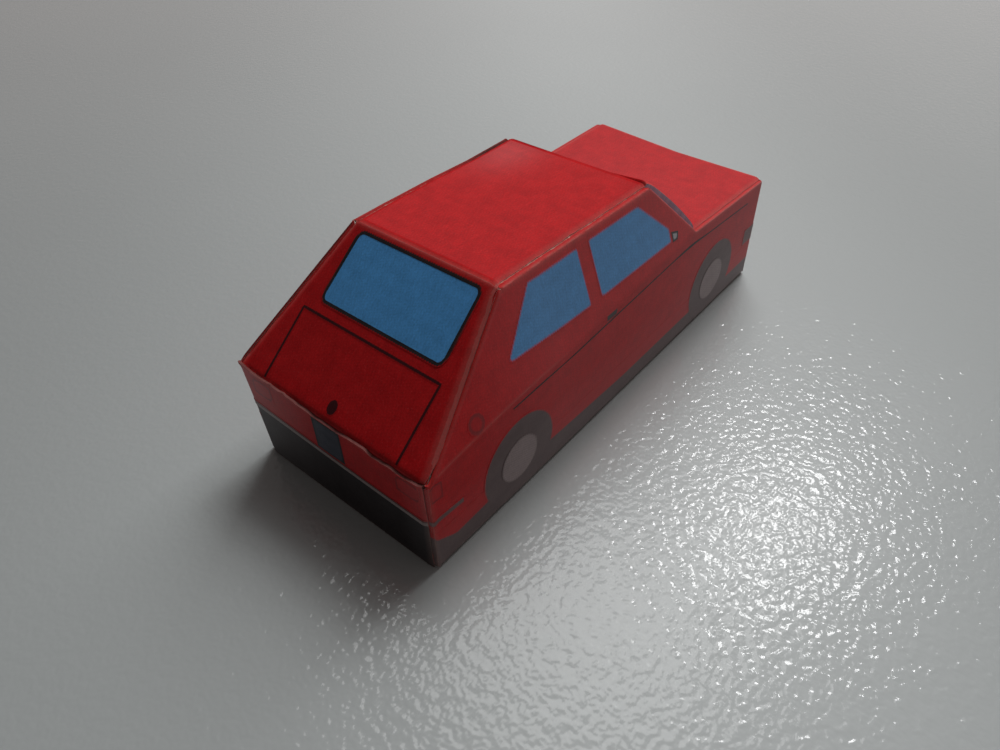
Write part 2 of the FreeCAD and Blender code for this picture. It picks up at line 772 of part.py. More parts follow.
HANDLE_REAR = f"({PILLAR_FRONT} + handle_gap)"
HANDLE_TOP = f"({belt_at(HANDLE_REAR)} - handle_drop)"
handle_print = side_box(
    "handle", HANDLE_REAR, f"{HANDLE_REAR} + handle_length",
    f"{HANDLE_TOP} - handle_depth", HANDLE_TOP, LOWER_SKIN,
)
WAIST_REAR = f"({belt_at('waist_rear')} - waist_drop_rear)"
WAIST_FRONT = f"({NOSE_TOP} - waist_drop_front)"
waist_whole = print_on("waist_whole", side_view_pad("waist_outline", [
    (from_tail("waist_rear"), f"{WAIST_REAR} - waist_line / 2"),
    (from_tail("overall_length - waist_front"), f"{WAIST_FRONT} - waist_line / 2"),
    (from_tail("overall_length - waist_front"), f"{WAIST_FRONT} + waist_line / 2"),
    (from_tail("waist_rear"), f"{WAIST_REAR} + waist_line / 2"),
]), LOWER_SKIN)
rear_wrap = side_box(
    "rear_wrap", "0", "rear_wrap", f"{BUMPER_TOP} - rear_wrap_depth", BUMPER_TOP, LOWER_SKIN,
)
front_wrap = side_box(
    "front_wrap", "overall_length - front_wrap", "overall_length",
    FRONT_BUMPER_LOW, FRONT_BUMPER_TOP, LOWER_SKIN,
)
lamp_wrap = side_box("lamp_wrap", "0", "lamp_wrap", LAMP_LOW, LAMP_HIGH, LOWER_SKIN)

# Wheels: pale hubs on black that fills each arch and runs along the sill.
AXLES = {"rear": "rear_overhang", "front": "overall_length - front_overhang"}
ACROSS = f"-{REACH} / 2"
ARCH_RADIUS = f"({WAIST_REAR} - waist_line / 2 - arch_drop - hub_height)"
hub_prints = []
arch_tools = []
for place_name, axle in AXLES.items():
    spot = (from_tail(axle), ACROSS, "hub_height")
    hub_tool = cylinder_along(f"{place_name}_hub_tool", "Y", "hub_radius", spot)
    hub_prints.append(print_on(f"{place_name}_hub", hub_tool, LOWER_SKIN))
    arch_tools.append(cylinder_along(f"{place_name}_arch_tool", "Y", ARCH_RADIUS, spot))
sill_outline = side_view_pad("sill_outline", box_points(
    REAR, "overall_length / 2", "-card", "sill_height",
))
dark_tools = DOC.addObject("Part::MultiFuse", "dark_tools")
dark_tools.Shapes = [sill_outline] + arch_tools
dark_whole = print_on("dark_whole", dark_tools, LOWER_SKIN)
dark_print = boolean("Cut", "dark_print", dark_whole, group("hub_group", hub_prints))
waist_print = boolean("Cut", "waist_print", waist_whole, dark_tools)

# The fuel filler is a thin ring on the right quarter only.
filler_spot = (from_tail("filler_place"), ACROSS, f"{belt_at('filler_place')} + filler_rise")
filler_disc = print_on(
    "filler_disc", cylinder_along("filler_tool", "Y", "filler_radius", filler_spot), UPPER_SKIN,
)
filler_core = cylinder_along("filler_core", "Y", "filler_radius - filler_line", filler_spot)
filler_ring = boolean("Cut", "filler_ring", filler_disc, filler_core)

LOWER_PRINTS = [handle_print, waist_print, rear_wrap, front_wrap, lamp_wrap, dark_print] + hub_prints
UPPER_PRINTS = [quarter, front_window, mirror_print]
SIDE_PRINTS = {
    "windows": group("windows", [quarter, front_window]),
    "mirror": mirror_print,
    "door_handle": handle_print,
    "waist_line": waist_print,
    "bumper_wraps": group("wraps", [rear_wrap, front_wrap]),
    "lamp_wrap": lamp_wrap,
    "hubs": group("hubs", hub_prints),
    "tyres_and_sill": dark_print,
}

lower_card = boolean("Cut", "lower_card", lower_plate, group("lower_prints", LOWER_PRINTS))
upper_card = boolean("Cut", "upper_card", upper_plate, group("upper_prints", UPPER_PRINTS))
upper_right = boolean("Cut", "upper_right_card", upper_card, filler_ring)

# Glue tabs fold in from each edge of a side and lie under the strip.
TAB_NAMES = {
    "tail": TAIL, "hatch": HATCH, "roof": ROOF, "windscreen": SCREEN,
    "bonnet": BONNET, "nose": NOSE, "floor": FLOOR,
}
tab_flats = group("tab_flats", [glue_tab(f"{name}_tab", edge) for name, edge in TAB_NAMES.items()])
tab_band = side_band("tab_band", "card", "card + tab_width", LEAN_CARD, f"({LEAN_CARD} + tab_width)")
tabs = boolean("Common", "tabs", tab_flats, tab_band)

keep("side_right_lower", lower_card)
keep("side_right_upper", upper_right)
keep("side_right_tabs", tabs)
keep("side_left_lower", mirror("side_left_lower", lower_card))
keep("side_left_upper", mirror("side_left_upper", upper_card))
keep("side_left_tabs", mirror("side_left_tabs", tabs))
for print_name, feature in SIDE_PRINTS.items():
    keep(f"side_right_{print_name}", feature)
    keep(f"side_left_{print_name}", mirror(f"side_left_{print_name}", feature))
keep("fuel_filler", filler_ring)

DOC.recompute()

for item in DOC.Objects:
    if "Invalid" in item.State or "Error" in item.State:
        raise RuntimeError(f"{item.Name} did not build: {item.State}")
for name, feature in NODES.items():
    if feature.Shape.isNull() or not feature.Shape.isValid() or not feature.Shape.Solids:
        raise RuntimeError(f"{name} has no valid solid")

os.makedirs("parts", exist_ok=True)
total = 0.0
for name, feature in NODES.items():
    feature.Shape.exportStep(f"parts/{name}.step")
    total += feature.Shape.Volume
    box = feature.Shape.BoundBox
    print(f"{name:28s} solids {len(feature.Shape.Solids)} volume {feature.Shape.Volume:8.3f}"
          f"  x {box.XMin:6.2f} {box.XMax:6.2f}  y {box.YMin:6.2f} {box.YMax:6.2f}"
          f"  z {box.ZMin:6.2f} {box.ZMax:6.2f}")
print(f"{len(NODES)} nodes, {total:.1f} cubic millimetres of card")
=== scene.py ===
import math

import bmesh
import bpy
import numpy as np
from mathutils import Matrix, Vector, noise
from mathutils.geometry import convex_hull_2d


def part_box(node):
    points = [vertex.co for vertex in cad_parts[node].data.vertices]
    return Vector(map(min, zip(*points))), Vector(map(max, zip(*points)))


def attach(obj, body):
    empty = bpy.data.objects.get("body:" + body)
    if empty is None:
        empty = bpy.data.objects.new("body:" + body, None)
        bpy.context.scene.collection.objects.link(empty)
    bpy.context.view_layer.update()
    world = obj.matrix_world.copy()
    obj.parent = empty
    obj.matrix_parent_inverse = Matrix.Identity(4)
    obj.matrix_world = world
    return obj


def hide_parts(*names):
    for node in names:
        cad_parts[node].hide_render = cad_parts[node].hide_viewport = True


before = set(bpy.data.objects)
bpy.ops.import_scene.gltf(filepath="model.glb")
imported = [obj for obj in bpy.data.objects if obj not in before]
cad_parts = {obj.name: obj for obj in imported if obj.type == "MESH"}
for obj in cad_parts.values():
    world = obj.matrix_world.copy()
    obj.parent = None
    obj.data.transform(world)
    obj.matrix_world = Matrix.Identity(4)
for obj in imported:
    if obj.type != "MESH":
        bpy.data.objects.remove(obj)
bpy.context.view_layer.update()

MM = 0.001


# Ink and card
# The model is thin card, printed on one face by an inkjet and worn pale along its folds and cut
# edges. These two node groups make the ink's dots and mottle, and the wear that lies over it.

DOT_PITCH = 0.24
BAND_PITCH = 1.35


def node_group(name, inputs, outputs):
    """A shader node group with its sockets, as the group, its input node and its output node."""
    group = bpy.data.node_groups.new(name, "ShaderNodeTree")
    for kind, sockets in (("INPUT", inputs), ("OUTPUT", outputs)):
        for label, socket_type, default in sockets:
            socket = group.interface.new_socket(label, in_out=kind, socket_type=socket_type)
            if default is not None:
                socket.default_value = default
    return group, group.nodes.new("NodeGroupInput"), group.nodes.new("NodeGroupOutput")


def add_node(tree, kind, settings=None, links=None):
    """A node with its settings made and its inputs set to values or joined to other sockets."""
    node = tree.nodes.new(kind)
    for key, value in (settings or {}).items():
        setattr(node, key, value)
    for key, value in (links or {}).items():
        socket = node.inputs[key]
        if isinstance(value, bpy.types.NodeSocket):
            tree.links.new(value, socket)
        else:
            socket.default_value = value
    return node


def calculate(tree, operation, first, second=0.0, clamp=False):
    settings = {"operation": operation, "use_clamp": clamp}
    return add_node(tree, "ShaderNodeMath", settings, {0: first, 1: second}).outputs[0]


def plus(tree, first, second, clamp=False):
    return calculate(tree, "ADD", first, second, clamp)


def minus(tree, first, second, clamp=False):
    return calculate(tree, "SUBTRACT", first, second, clamp)


def times(tree, first, second, clamp=False):
    return calculate(tree, "MULTIPLY", first, second, clamp)


def vector_work(tree, operation, first, second):
    settings = {"operation": operation}
    return add_node(tree, "ShaderNodeVectorMath", settings, {0: first, 1: second})


def scaled(tree, vector, scale):
    links = {0: vector, "Scale": scale}
    return add_node(tree, "ShaderNodeVectorMath", {"operation": "SCALE"}, links).outputs[0]


def xyz(tree, vector):
    """The three coordinates of a vector."""
    return list(add_node(tree, "ShaderNodeSeparateXYZ", None, {"Vector": vector}).outputs)


def blend_colours(tree, share, first, second, blend="MIX"):
    settings = {"data_type": "RGBA", "blend_type": blend, "clamp_factor": True}
    return add_node(tree, "ShaderNodeMix", settings, {0: share, 6: first, 7: second}).outputs[2]


def ramp(tree, value, low, high):
    """A smooth rise from 0 to 1 as a value goes from low to high."""
    links = {"Value": value, "From Min": low, "From Max": high}
    settings = {"interpolation_type": "SMOOTHSTEP", "clamp": True}
    return add_node(tree, "ShaderNodeMapRange", settings, links).outputs[0]


def noise_at(tree, place, scale, detail=2.0, roughness=0.5):
    links = {"Vector": place, "Scale": scale, "Detail": detail, "Roughness": roughness}
    return add_node(tree, "ShaderNodeTexNoise", None, links).outputs["Fac"]


def wave(tree, place, pitch):
    return calculate(tree, "SINE", times(tree, place, 2 * math.pi / pitch))


def build_ink_group():
    """Ink laid in rows of fine dots, a little mottled where the card drank it unevenly."""
    group, given, result = node_group(
        "Inkjet print",
        [
            ("Place", "NodeSocketVector", None),
            ("Ink", "NodeSocketColor", (0.5, 0.03, 0.03, 1)),
            ("Deep", "NodeSocketColor", (0.3, 0.01, 0.01, 1)),
            ("Dots", "NodeSocketFloat", 0.1),
            ("Mottle", "NodeSocketFloat", 0.5),
        ],
        [("Color", "NodeSocketColor", None), ("Height", "NodeSocketFloat", None)],
    )
    place, ink, deep, dot_depth, mottle = list(given.outputs)[:5]
    turned = add_node(
        group, "ShaderNodeVectorRotate", {"rotation_type": "Z_AXIS"},
        {"Vector": place, "Angle": math.radians(27)},
    ).outputs[0]
    across, along, _ = xyz(group, turned)
    rows, files = (wave(group, way, DOT_PITCH) for way in (across, along))
    dots = times(group, plus(group, rows, files), 0.5)
    bands = wave(group, xyz(group, place)[1], BAND_PITCH)
    specks = noise_at(group, place, 6.0, 2.0, 0.7)
    stretched = vector_work(group, "MULTIPLY", place, (5.0, 0.9, 1.0)).outputs[0]
    streaks = noise_at(group, stretched, 1.0, 2.0, 0.6)
    grain = times(group, minus(group, plus(group, specks, times(group, streaks, 0.6)), 0.8), 0.9)
    lift = plus(group, times(group, dots, dot_depth), times(group, bands, 0.02))
    lift = plus(group, lift, times(group, grain, mottle))
    clouds = ramp(group, noise_at(group, place, 0.55, 4.0, 0.62), 0.32, 0.72)
    colour = blend_colours(group, times(group, clouds, mottle), ink, deep)
    group.links.new(scaled(group, colour, plus(group, lift, 1.0)), result.inputs["Color"])
    fibres = noise_at(group, place, 16.0, 3.0, 0.6)
    waves = noise_at(group, place, 1.6, 2.0, 0.5)
    group.links.new(plus(group, fibres, times(group, waves, 1.5)), result.inputs["Height"])
    return group


def build_wear_group():
    """Pale fibres where ink has rubbed off, by the distance to a fold and to a cut edge."""
    group, given, result = node_group(
        "Rubbed edges",
        [
            ("Place", "NodeSocketVector", None),
            ("Color", "NodeSocketColor", (0.5, 0.03, 0.03, 1)),
            ("Fold", "NodeSocketFloat", 9.0),
            ("Cut", "NodeSocketFloat", 9.0),
            ("Fibre", "NodeSocketColor", (0.5, 0.36, 0.32, 1)),
            ("Amount", "NodeSocketFloat", 1.0),
        ],
        [("Color", "NodeSocketColor", None), ("Bare", "NodeSocketFloat", None)],
    )
    place, ink, fold, cut, fibre, amount = list(given.outputs)[:6]
    patches = ramp(group, noise_at(group, place, 0.9, 3.0, 0.7), 0.34, 0.66)
    threads = plus(group, times(group, noise_at(group, place, 5.5, 3.0, 0.7), 0.16), 0.01)
    reach = times(group, threads, plus(group, patches, 0.35))
    by_fold = minus(group, 1.35, calculate(group, "DIVIDE", fold, reach), clamp=True)
    by_cut = calculate(group, "DIVIDE", cut, times(group, reach, 0.8))
    by_cut = minus(group, 1.3, by_cut, clamp=True)
    worn = times(group, calculate(group, "MAXIMUM", by_fold, by_cut), amount, clamp=True)
    near = ramp(group, calculate(group, "MINIMUM", fold, cut), 0.0, 0.55)
    dulled = times(group, minus(group, 1.0, near), 0.1)
    share = calculate(group, "MAXIMUM", times(group, worn, 0.42), dulled)
    group.links.new(blend_colours(group, share, ink, fibre), result.inputs["Color"])
    group.links.new(worn, result.inputs["Bare"])
    return group


INKJET = build_ink_group()
RUBBED = build_wear_group()
RED = (0.45, 0.009, 0.011, 1)
DEEP_RED = (0.36, 0.006, 0.008, 1)
FIBRE = (0.5, 0.33, 0.29, 1)
# The pale grey that the painted sheen adds to the print.
PAINTED_SHEEN_WHITE = (0.96, 0.97, 1.0, 1)
RED_INK = (RED, DEEP_RED)
WEAR = 0.6


def new_material(name):
    """A material, its node tree and its shader."""
    material = bpy.data.materials.new(name)
    material.use_nodes = True
    return material, material.node_tree, material.node_tree.nodes["Principled BSDF"]


def add_bump(tree, shader, height, strength, distance, socket="Normal"):
    links = {"Height": height, "Strength": strength, "Distance": distance * MM}
    bump = add_node(tree, "ShaderNodeBump", None, links).outputs[0]
    tree.links.new(bump, shader.inputs[socket])


def sheet_place(tree):
    """A point's place on the flat sheet, in millimetres."""
    uv = add_node(tree, "ShaderNodeUVMap", {"uv_map": "print"}).outputs[0]
    return scaled(tree, uv, 1000.0)


def mark_of(tree, name):
    """A distance or share that the mesh carries at each vertex."""
    return add_node(tree, "ShaderNodeAttribute", {"attribute_name": name}).outputs["Fac"]


def printed(
    name, ink, under=RED_INK, heart=None, dots=0.05, mottle=0.8, soft=0.05, dotted=0.12,
):
    """Matt card with one ink, a colour and its darker clouds, which melts at its rim into the ink
    under it. A heart is a second ink, from some way inside the rim."""
    material, tree, shader = new_material(name)
    place = sheet_place(tree)

    def ink_layer(colour, darker):
        return add_node(
            tree, "ShaderNodeGroup", {"node_tree": INKJET},
            {"Place": place, "Ink": colour, "Deep": darker, "Dots": dots, "Mottle": mottle},
        )

    top = ink_layer(*ink)
    colour = top.outputs["Color"]
    if under:
        below = ink_layer(*under).outputs["Color"]
        dot_rows = times(tree, wave(tree, xyz(tree, place)[0], DOT_PITCH), dotted)
        bleed = plus(tree, noise_at(tree, place, 9.0, 2.0, 0.7), dot_rows)
        ragged = plus(tree, mark_of(tree, "rim"), times(tree, bleed, soft))
        if heart:
            inner = ink_layer(*heart[:2]).outputs["Color"]
            inside = ramp(tree, ragged, heart[2], heart[2] + 0.14)
            colour = blend_colours(tree, inside, colour, inner)
        colour = blend_colours(tree, ramp(tree, ragged, soft * 0.45, soft * 1.5), below, colour)
    # Painted light from the mesh's mark: above nought a painted sheen of pale grey is added, below
    # nought the ink is scaled darker as painted shade. The card's fine pale flecks ride on the
    # sheen.
    painted_light = mark_of(tree, "painted_light")
    darker = plus(tree, calculate(tree, "MINIMUM", painted_light, 0.0), 1.0)
    flecks = times(tree, ramp(tree, noise_at(tree, place, 7.0, 1.0), 0.55, 0.8), 0.02 * mottle)
    painted_light = plus(tree, calculate(tree, "MAXIMUM", painted_light, 0.0), flecks)
    colour = blend_colours(tree, painted_light, scaled(tree, colour, darker), PAINTED_SHEEN_WHITE, "ADD")
    rubbed = add_node(tree, "ShaderNodeGroup", {"node_tree": RUBBED}, {
        "Place": place, "Color": colour, "Fold": mark_of(tree, "fold"), "Cut": mark_of(tree, "cut"),
        "Fibre": FIBRE, "Amount": WEAR,
    })
    bare, relief = rubbed.outputs["Bare"], top.outputs["Height"]
    tree.links.new(rubbed.outputs["Color"], shader.inputs["Base Color"])
    rough = plus(tree, times(tree, minus(tree, relief, 1.2), 0.12), times(tree, bare, 0.25))
    tree.links.new(plus(tree, rough, 0.66), shader.inputs["Roughness"])
    add_bump(tree, shader, plus(tree, relief, times(tree, bare, 1.5)), 0.35, 0.012)
    shader.inputs["Specular IOR Level"].default_value = 0.12
    return material


def bare_card(name, pale, stain, stained=0.8):
    """Unprinted card with glue and handling marks, for its inner face and its cut edges."""
    material, tree, shader = new_material(name)
    place = sheet_place(tree)
    clouds = ramp(tree, noise_at(tree, place, 0.8, 5.0, 0.65), 0.4, 0.7)
    fibres = noise_at(tree, place, 9.0, 3.0, 0.7)
    share = times(tree, minus(tree, fibres, 0.5), 0.5)
    share = plus(tree, times(tree, clouds, stained), share, clamp=True)
    tree.links.new(blend_colours(tree, share, pale, stain), shader.inputs["Base Color"])
    tree.links.new(plus(tree, times(tree, fibres, 0.2), 0.7), shader.inputs["Roughness"])
    add_bump(tree, shader, fibres, 0.5, 0.02)
    return material


red_print = printed("Red printed card", RED_INK, None)
card_back = bare_card("Card back", (0.66, 0.63, 0.57, 1), (0.5, 0.45, 0.38, 1), stained=0.4)
red_edge = bare_card("Cut edge of red card", (0.46, 0.2, 0.18, 1), (0.38, 0.08, 0.07, 1))
tail_edge = bare_card("Cut edge of the tail", (0.2, 0.07, 0.065, 1), (0.15, 0.04, 0.036, 1))
# The floor's cut edges are painted near-black as the shade where the card meets the table; bare
# card would be paler.
floor_edge_in_painted_shade = bare_card("Cut edge of the floor in painted shade", (0.1, 0.075, 0.075, 1), (0.06, 0.045, 0.045, 1))
screen_edge = bare_card("Cut edge of the windscreen", (0.44, 0.34, 0.44, 1), (0.26, 0.19, 0.26, 1))


# The strip
# One strip of card is folded round into the closing tab, hatch, roof, windscreen, bonnet, nose,
# floor and tail. Each flat bends into its neighbour at a scored fold and bows a little between.

FLATS = [
    "hatch_closing_tab", "hatch_panel", "roof_panel", "windscreen_panel",
    "bonnet_panel", "nose_panel", "floor_panel", "tail_panel",
]
TAB, HATCH, ROOF, SCREEN, BONNET, NOSE, FLOOR, TAIL = range(8)
BEND = 0.24
CREASED = 0.27
PRESSED = 0.17
PRESSED_WIDTH = 0.4
BOWS = [0.0, 0.06, 0.1, 0.03, -0.09, 0.04, -0.05, 0.05]
SCREEN_BULGE = 0.6
SCREEN_EDGE = 0.5
TAIL_CURL = 0.05
NOSE_RISE = 0.55
HATCH_WIDER = 0.33
ROOF_UNWORN = 0.1
FAR = 9.0


def limits(node):
    low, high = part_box(node)
    return np.array(low) / MM, np.array(high) / MM


def cad_spots(node):
    """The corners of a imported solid, in millimetres."""
    return np.array([vertex.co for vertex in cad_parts[node].data.vertices]) / MM


def cad_half_width(node, x, z):
    """Half the width of a solid at its corner nearest to a place in side view."""
    spots = cad_spots(node)
    nearest = np.argmin((spots[:, 0] - x) ** 2 + (spots[:, 2] - z) ** 2)
    return abs(spots[nearest, 1])


tab_low, tab_high = limits("hatch_closing_tab")
roof_low, roof_high = limits("roof_panel")
screen_high, bonnet_high, nose_high, floor_high = (
    limits(node)[1] for node in ("windscreen_panel", "bonnet_panel", "nose_panel", "floor_panel")
)
tail_low, tail_high = limits("tail_panel")
CARD = floor_high[2] - limits("floor_panel")[0][2]
TAIL_X, NOSE_X = tail_low[0], nose_high[0]
STRIP_HALF = tail_high[1]
corners = np.array([
    (tab_low[0], tab_low[2]),
    (tab_low[0], tail_high[2]),
    (roof_low[0], roof_high[2]),
    (roof_high[0], screen_high[2]),
    (screen_high[0], bonnet_high[2]),
    (NOSE_X, nose_high[2]),
    (NOSE_X, 0.0),
    (TAIL_X, 0.0),
    (TAIL_X, tail_high[2]),
])
runs = np.diff(corners, axis=0)
lengths = np.hypot(runs[:, 0], runs[:, 1])
ways = runs / lengths[:, None]
card_start = np.concatenate([[0.0], np.cumsum(lengths)])
roof_rear_half = cad_half_width("roof_panel", *corners[ROOF])
roof_front_half = cad_half_width("roof_panel", *corners[SCREEN])
half_widths = [tab_high[1], STRIP_HALF, roof_rear_half, roof_front_half] + [STRIP_HALF] * 5

# How the glue let the left side stand out, by the place along the car.
SPREAD_X = [-24.8, -19.0, -13.3, -9.5, -4.6, 0.0, 5.0, 11.0, 24.8]
SPREAD_Y = [1.2, 0.9, 0.68, 0.65, 0.45, 0.08, 0.0, 0.2, 0.3]

# Painted sheen: how much paler grey the print is painted where light glances off it, across the
# tail and along the sides.
SHEEN_ACROSS = [-9.6, -7.0, 0.0, 3.0, 6.0, 9.0, 11.0]
PAINTED_SHEEN_TAIL = [0.06, 0.02, 0.02, 0.05, 0.11, 0.2, 0.22]
SHEEN_ALONG = [-20.0, -15.0, -10.0, 0.0, 8.0, 16.0, 25.0]
PAINTED_SHEEN_SIDE = [0.015, 0.035, 0.055, 0.06, 0.08, 0.11, 0.13]

# How far short of its line the tail's top edge was cut, from right to left.
CUT_ACROSS = [-9.4, -7.8, -6.3, -4.5, -3.6, -2.5, -1.4, 0.0, 1.3, 2.4, 3.7, 5.3, 9.2, 10.1, 11.2]
CUT_SHORT = [
    0.22, 0.35, 0.31, 0.39, 0.15, 0.22, 0.39, 0.31, 0.33, 0.22, 0.22, 0.02, 0.04, -0.1, -0.3,
]


def together(*parts):
    """Coordinates put together, along a new last axis."""
    return np.stack(parts, axis=-1)


def outward(way):
    """The outward normal in side view of a stretch of the strip that runs a given way."""
    return together(-way[..., 1], way[..., 0])


def matched(first, second):
    """Two sets of places, as arrays of the same shape."""
    return np.broadcast_arrays(np.asarray(first, float), np.asarray(second, float))


def left_spread(x, z):
    """How far the left side was glued outside its line, most at the tail's upper corner."""
    return np.interp(x, SPREAD_X, SPREAD_Y) * np.clip((z + 1.0) / 10.6, 0, 1) ** 1.2


def half_width(flat, share):
    """Half the strip's width at a share of the way along a flat."""
    return half_widths[flat] + (half_widths[flat + 1] - half_widths[flat]) * share


def sprung(points):
    """Places moved as the glue let them: the nose's upper left corner stands up."""
    x, y, z = np.moveaxis(points, -1, 0)
    to_nose = np.clip((x - 11) / 14, 0, 1)
    raised = NOSE_RISE * to_nose * np.clip(y / STRIP_HALF, 0, 1) * np.clip(z / 11, 0, 1)
    return points + together(0 * x, 0 * x, raised)


def strip_point(flat, across, along, lift=0.0):
    """Points and normals on the strip's printed face, at places across and along one flat."""
    across, along = matched(across, along)
    start, stop, way = corners[flat], corners[flat + 1], ways[flat]
    spot = start + along[..., None] * way
    heading = np.broadcast_to(way, spot.shape).copy()
    folds = []
    if flat > TAB:
        folds.append((along < BEND, start, ways[flat - 1], way, 0.5 + 0.5 * along / BEND))
    if flat < TAIL:
        past = (along - lengths[flat] + BEND) / BEND
        folds.append((along > lengths[flat] - BEND, stop, way, ways[flat + 1], 0.5 * past))
    for bent, corner, before, after, turn in folds:
        turn = turn[..., None]
        curve = corner - before * BEND * (1 - turn) ** 2 + after * BEND * turn ** 2
        spot = np.where(bent[..., None], curve, spot)
        heading = np.where(bent[..., None], before * (1 - turn) + after * turn, heading)
    heading /= np.linalg.norm(heading, axis=-1, keepdims=True)
    out = outward(heading)
    share = along / lengths[flat]
    half = half_width(flat, share)
    bow = BOWS[flat] * (1 - np.clip(across / half, -1, 1) ** 2) * 4 * share * (1 - share)
    if flat == SCREEN:
        at_side = np.clip(1.2 - (half + across) / 3.0, 0, 1)
        bow = bow + SCREEN_BULGE * at_side * np.sin(math.pi * np.clip(share, 0, 1)) ** 0.3
    if flat == TAIL:
        bow = bow + TAIL_CURL * np.clip(share, 0, 0.999) ** 6
    to_side = half + (across > 0) * left_spread(spot[..., 0], spot[..., 1]) - np.abs(across)
    bow = bow - PRESSED * np.clip(1 - to_side / PRESSED_WIDTH, 0, 1) ** 1.5
    bow = np.where((share < 0) | (share > 1), 0, bow)
    spot = spot + out * (bow + lift)[..., None]
    points = sprung(together(spot[..., 0], across, spot[..., 1]))
    normals = together(out[..., 0], np.zeros_like(across), out[..., 1])
    return points, normals


def strip_sheet(flat, across, along, lift=0.0):
    """Points on a flat with the print's coordinates and the distances to its folds and cuts."""
    points, normals = strip_point(flat, across, along, lift)
    across, along = matched(across, along)
    half = half_width(flat, along / lengths[flat])
    fold = np.full(across.shape, FAR)
    if flat > HATCH and flat != SCREEN:
        fold = np.minimum(fold, along + ROOF_UNWORN * (flat == ROOF))
    if TAB < flat < TAIL and flat != ROOF:
        fold = np.minimum(fold, lengths[flat] - along)
    cut = half + across
    if flat != ROOF:
        cut = np.minimum(cut, half + left_spread(points[..., 0], points[..., 2]) - across)
    if flat == TAIL:
        cut = np.minimum(cut, lengths[flat] - along)
    place = together(across, along + card_start[flat])
    cut = np.maximum(cut, 0)
    return {"points": points, "normals": normals, "place": place, "fold": fold, "cut": cut}


def painted_light_at(points, normals):
    """Painted light on the print. Above nought it is a painted sheen, paler grey: most at the
    tail's upper left, on the sides towards the nose and faintly on top. Below nought it is painted
    shade, darker than its ink: along the roof's front and left rims, on its rear fold, on the cut
    edge that closes the tail and at the hatch's left fold."""
    x, y, z = np.moveaxis(points, -1, 0)
    roof_x, screen_x = corners[ROOF][0], corners[SCREEN][0]
    on_tail = np.clip(-normals[..., 0] * 2 - 1, 0, 1) * (z < corners[TAIL + 1][1] + 0.35)
    on_side = np.clip(np.abs(normals[..., 1]) * 3 - 1.5, 0, 1)
    on_top = np.clip(normals[..., 2] * 4 - 3, 0, 1)
    on_roof = on_top * (z > corners[SCREEN][1] - 0.3)
    # Painted sheen on the tail, the sides and the top, paler where light glances off the ink; low
    # on the sides it stands in for the bright table's reflection.
    by_tail = np.interp(y, SHEEN_ACROSS, PAINTED_SHEEN_TAIL) * (0.4 + 0.6 * np.clip(z / 8.0, 0, 1))
    by_side = np.interp(x, SHEEN_ALONG, PAINTED_SHEEN_SIDE) + 0.05 * np.clip(1 - z / 7, 0, 1)
    by_top = np.interp(x, [5.0, 14.0], [0.012, 0.028])
    by_top = by_top + 0.04 * np.exp(-((x - 3) / 4) ** 2 - ((y - 5.5) / 3) ** 2)
    roof_half = np.interp(x, [roof_x, screen_x], [roof_rear_half, roof_front_half])
    inside = np.minimum(roof_half + left_spread(x, z) - y, screen_x - x)
    # Painted shade along the roof's front and left rims.
    rim = 25 * on_roof * np.exp(-(np.maximum(inside, 0) / 0.2) ** 2)
    # Painted shade on the hatch's left fold.
    shaded = (y > 0) & (x < roof_x) & (normals[..., 1] > 0.02) & (normals[..., 2] > 0.4)
    # Painted shade on the hatch's foot, at the tail's cut edge that closes it.
    closing = (normals[..., 2] > 0.12) * np.exp(-((x - TAIL_X) / 0.45) ** 2)
    # Painted shade: a thin dark line along the roof's rear fold.
    ridge_shade = on_roof * np.exp(-((x - roof_x - 0.22) / 0.07) ** 2)
    grey = on_tail * by_tail + on_side * by_side + (on_top - rim) * by_top
    return grey - 0.7 * shaded - 0.35 * closing - 0.3 * ridge_shade


def grid_quads(shape):
    rows, columns = shape
    index = np.arange(rows * columns).reshape(rows, columns)
    quads = together(index[:-1, :-1], index[:-1, 1:], index[1:, 1:], index[1:, :-1])
    return quads.reshape(-1, 4)


def face_outward(points, normals, quads):
    """The same quads, each wound so that it faces the way its normals do."""
    corner = points[quads]
    side = np.cross(corner[:, 2] - corner[:, 0], corner[:, 3] - corner[:, 1])
    wrong = (side * normals[quads].mean(axis=1)).sum(axis=1) < 0
    quads = quads.copy()
    quads[wrong] = quads[wrong][:, ::-1]
    return quads


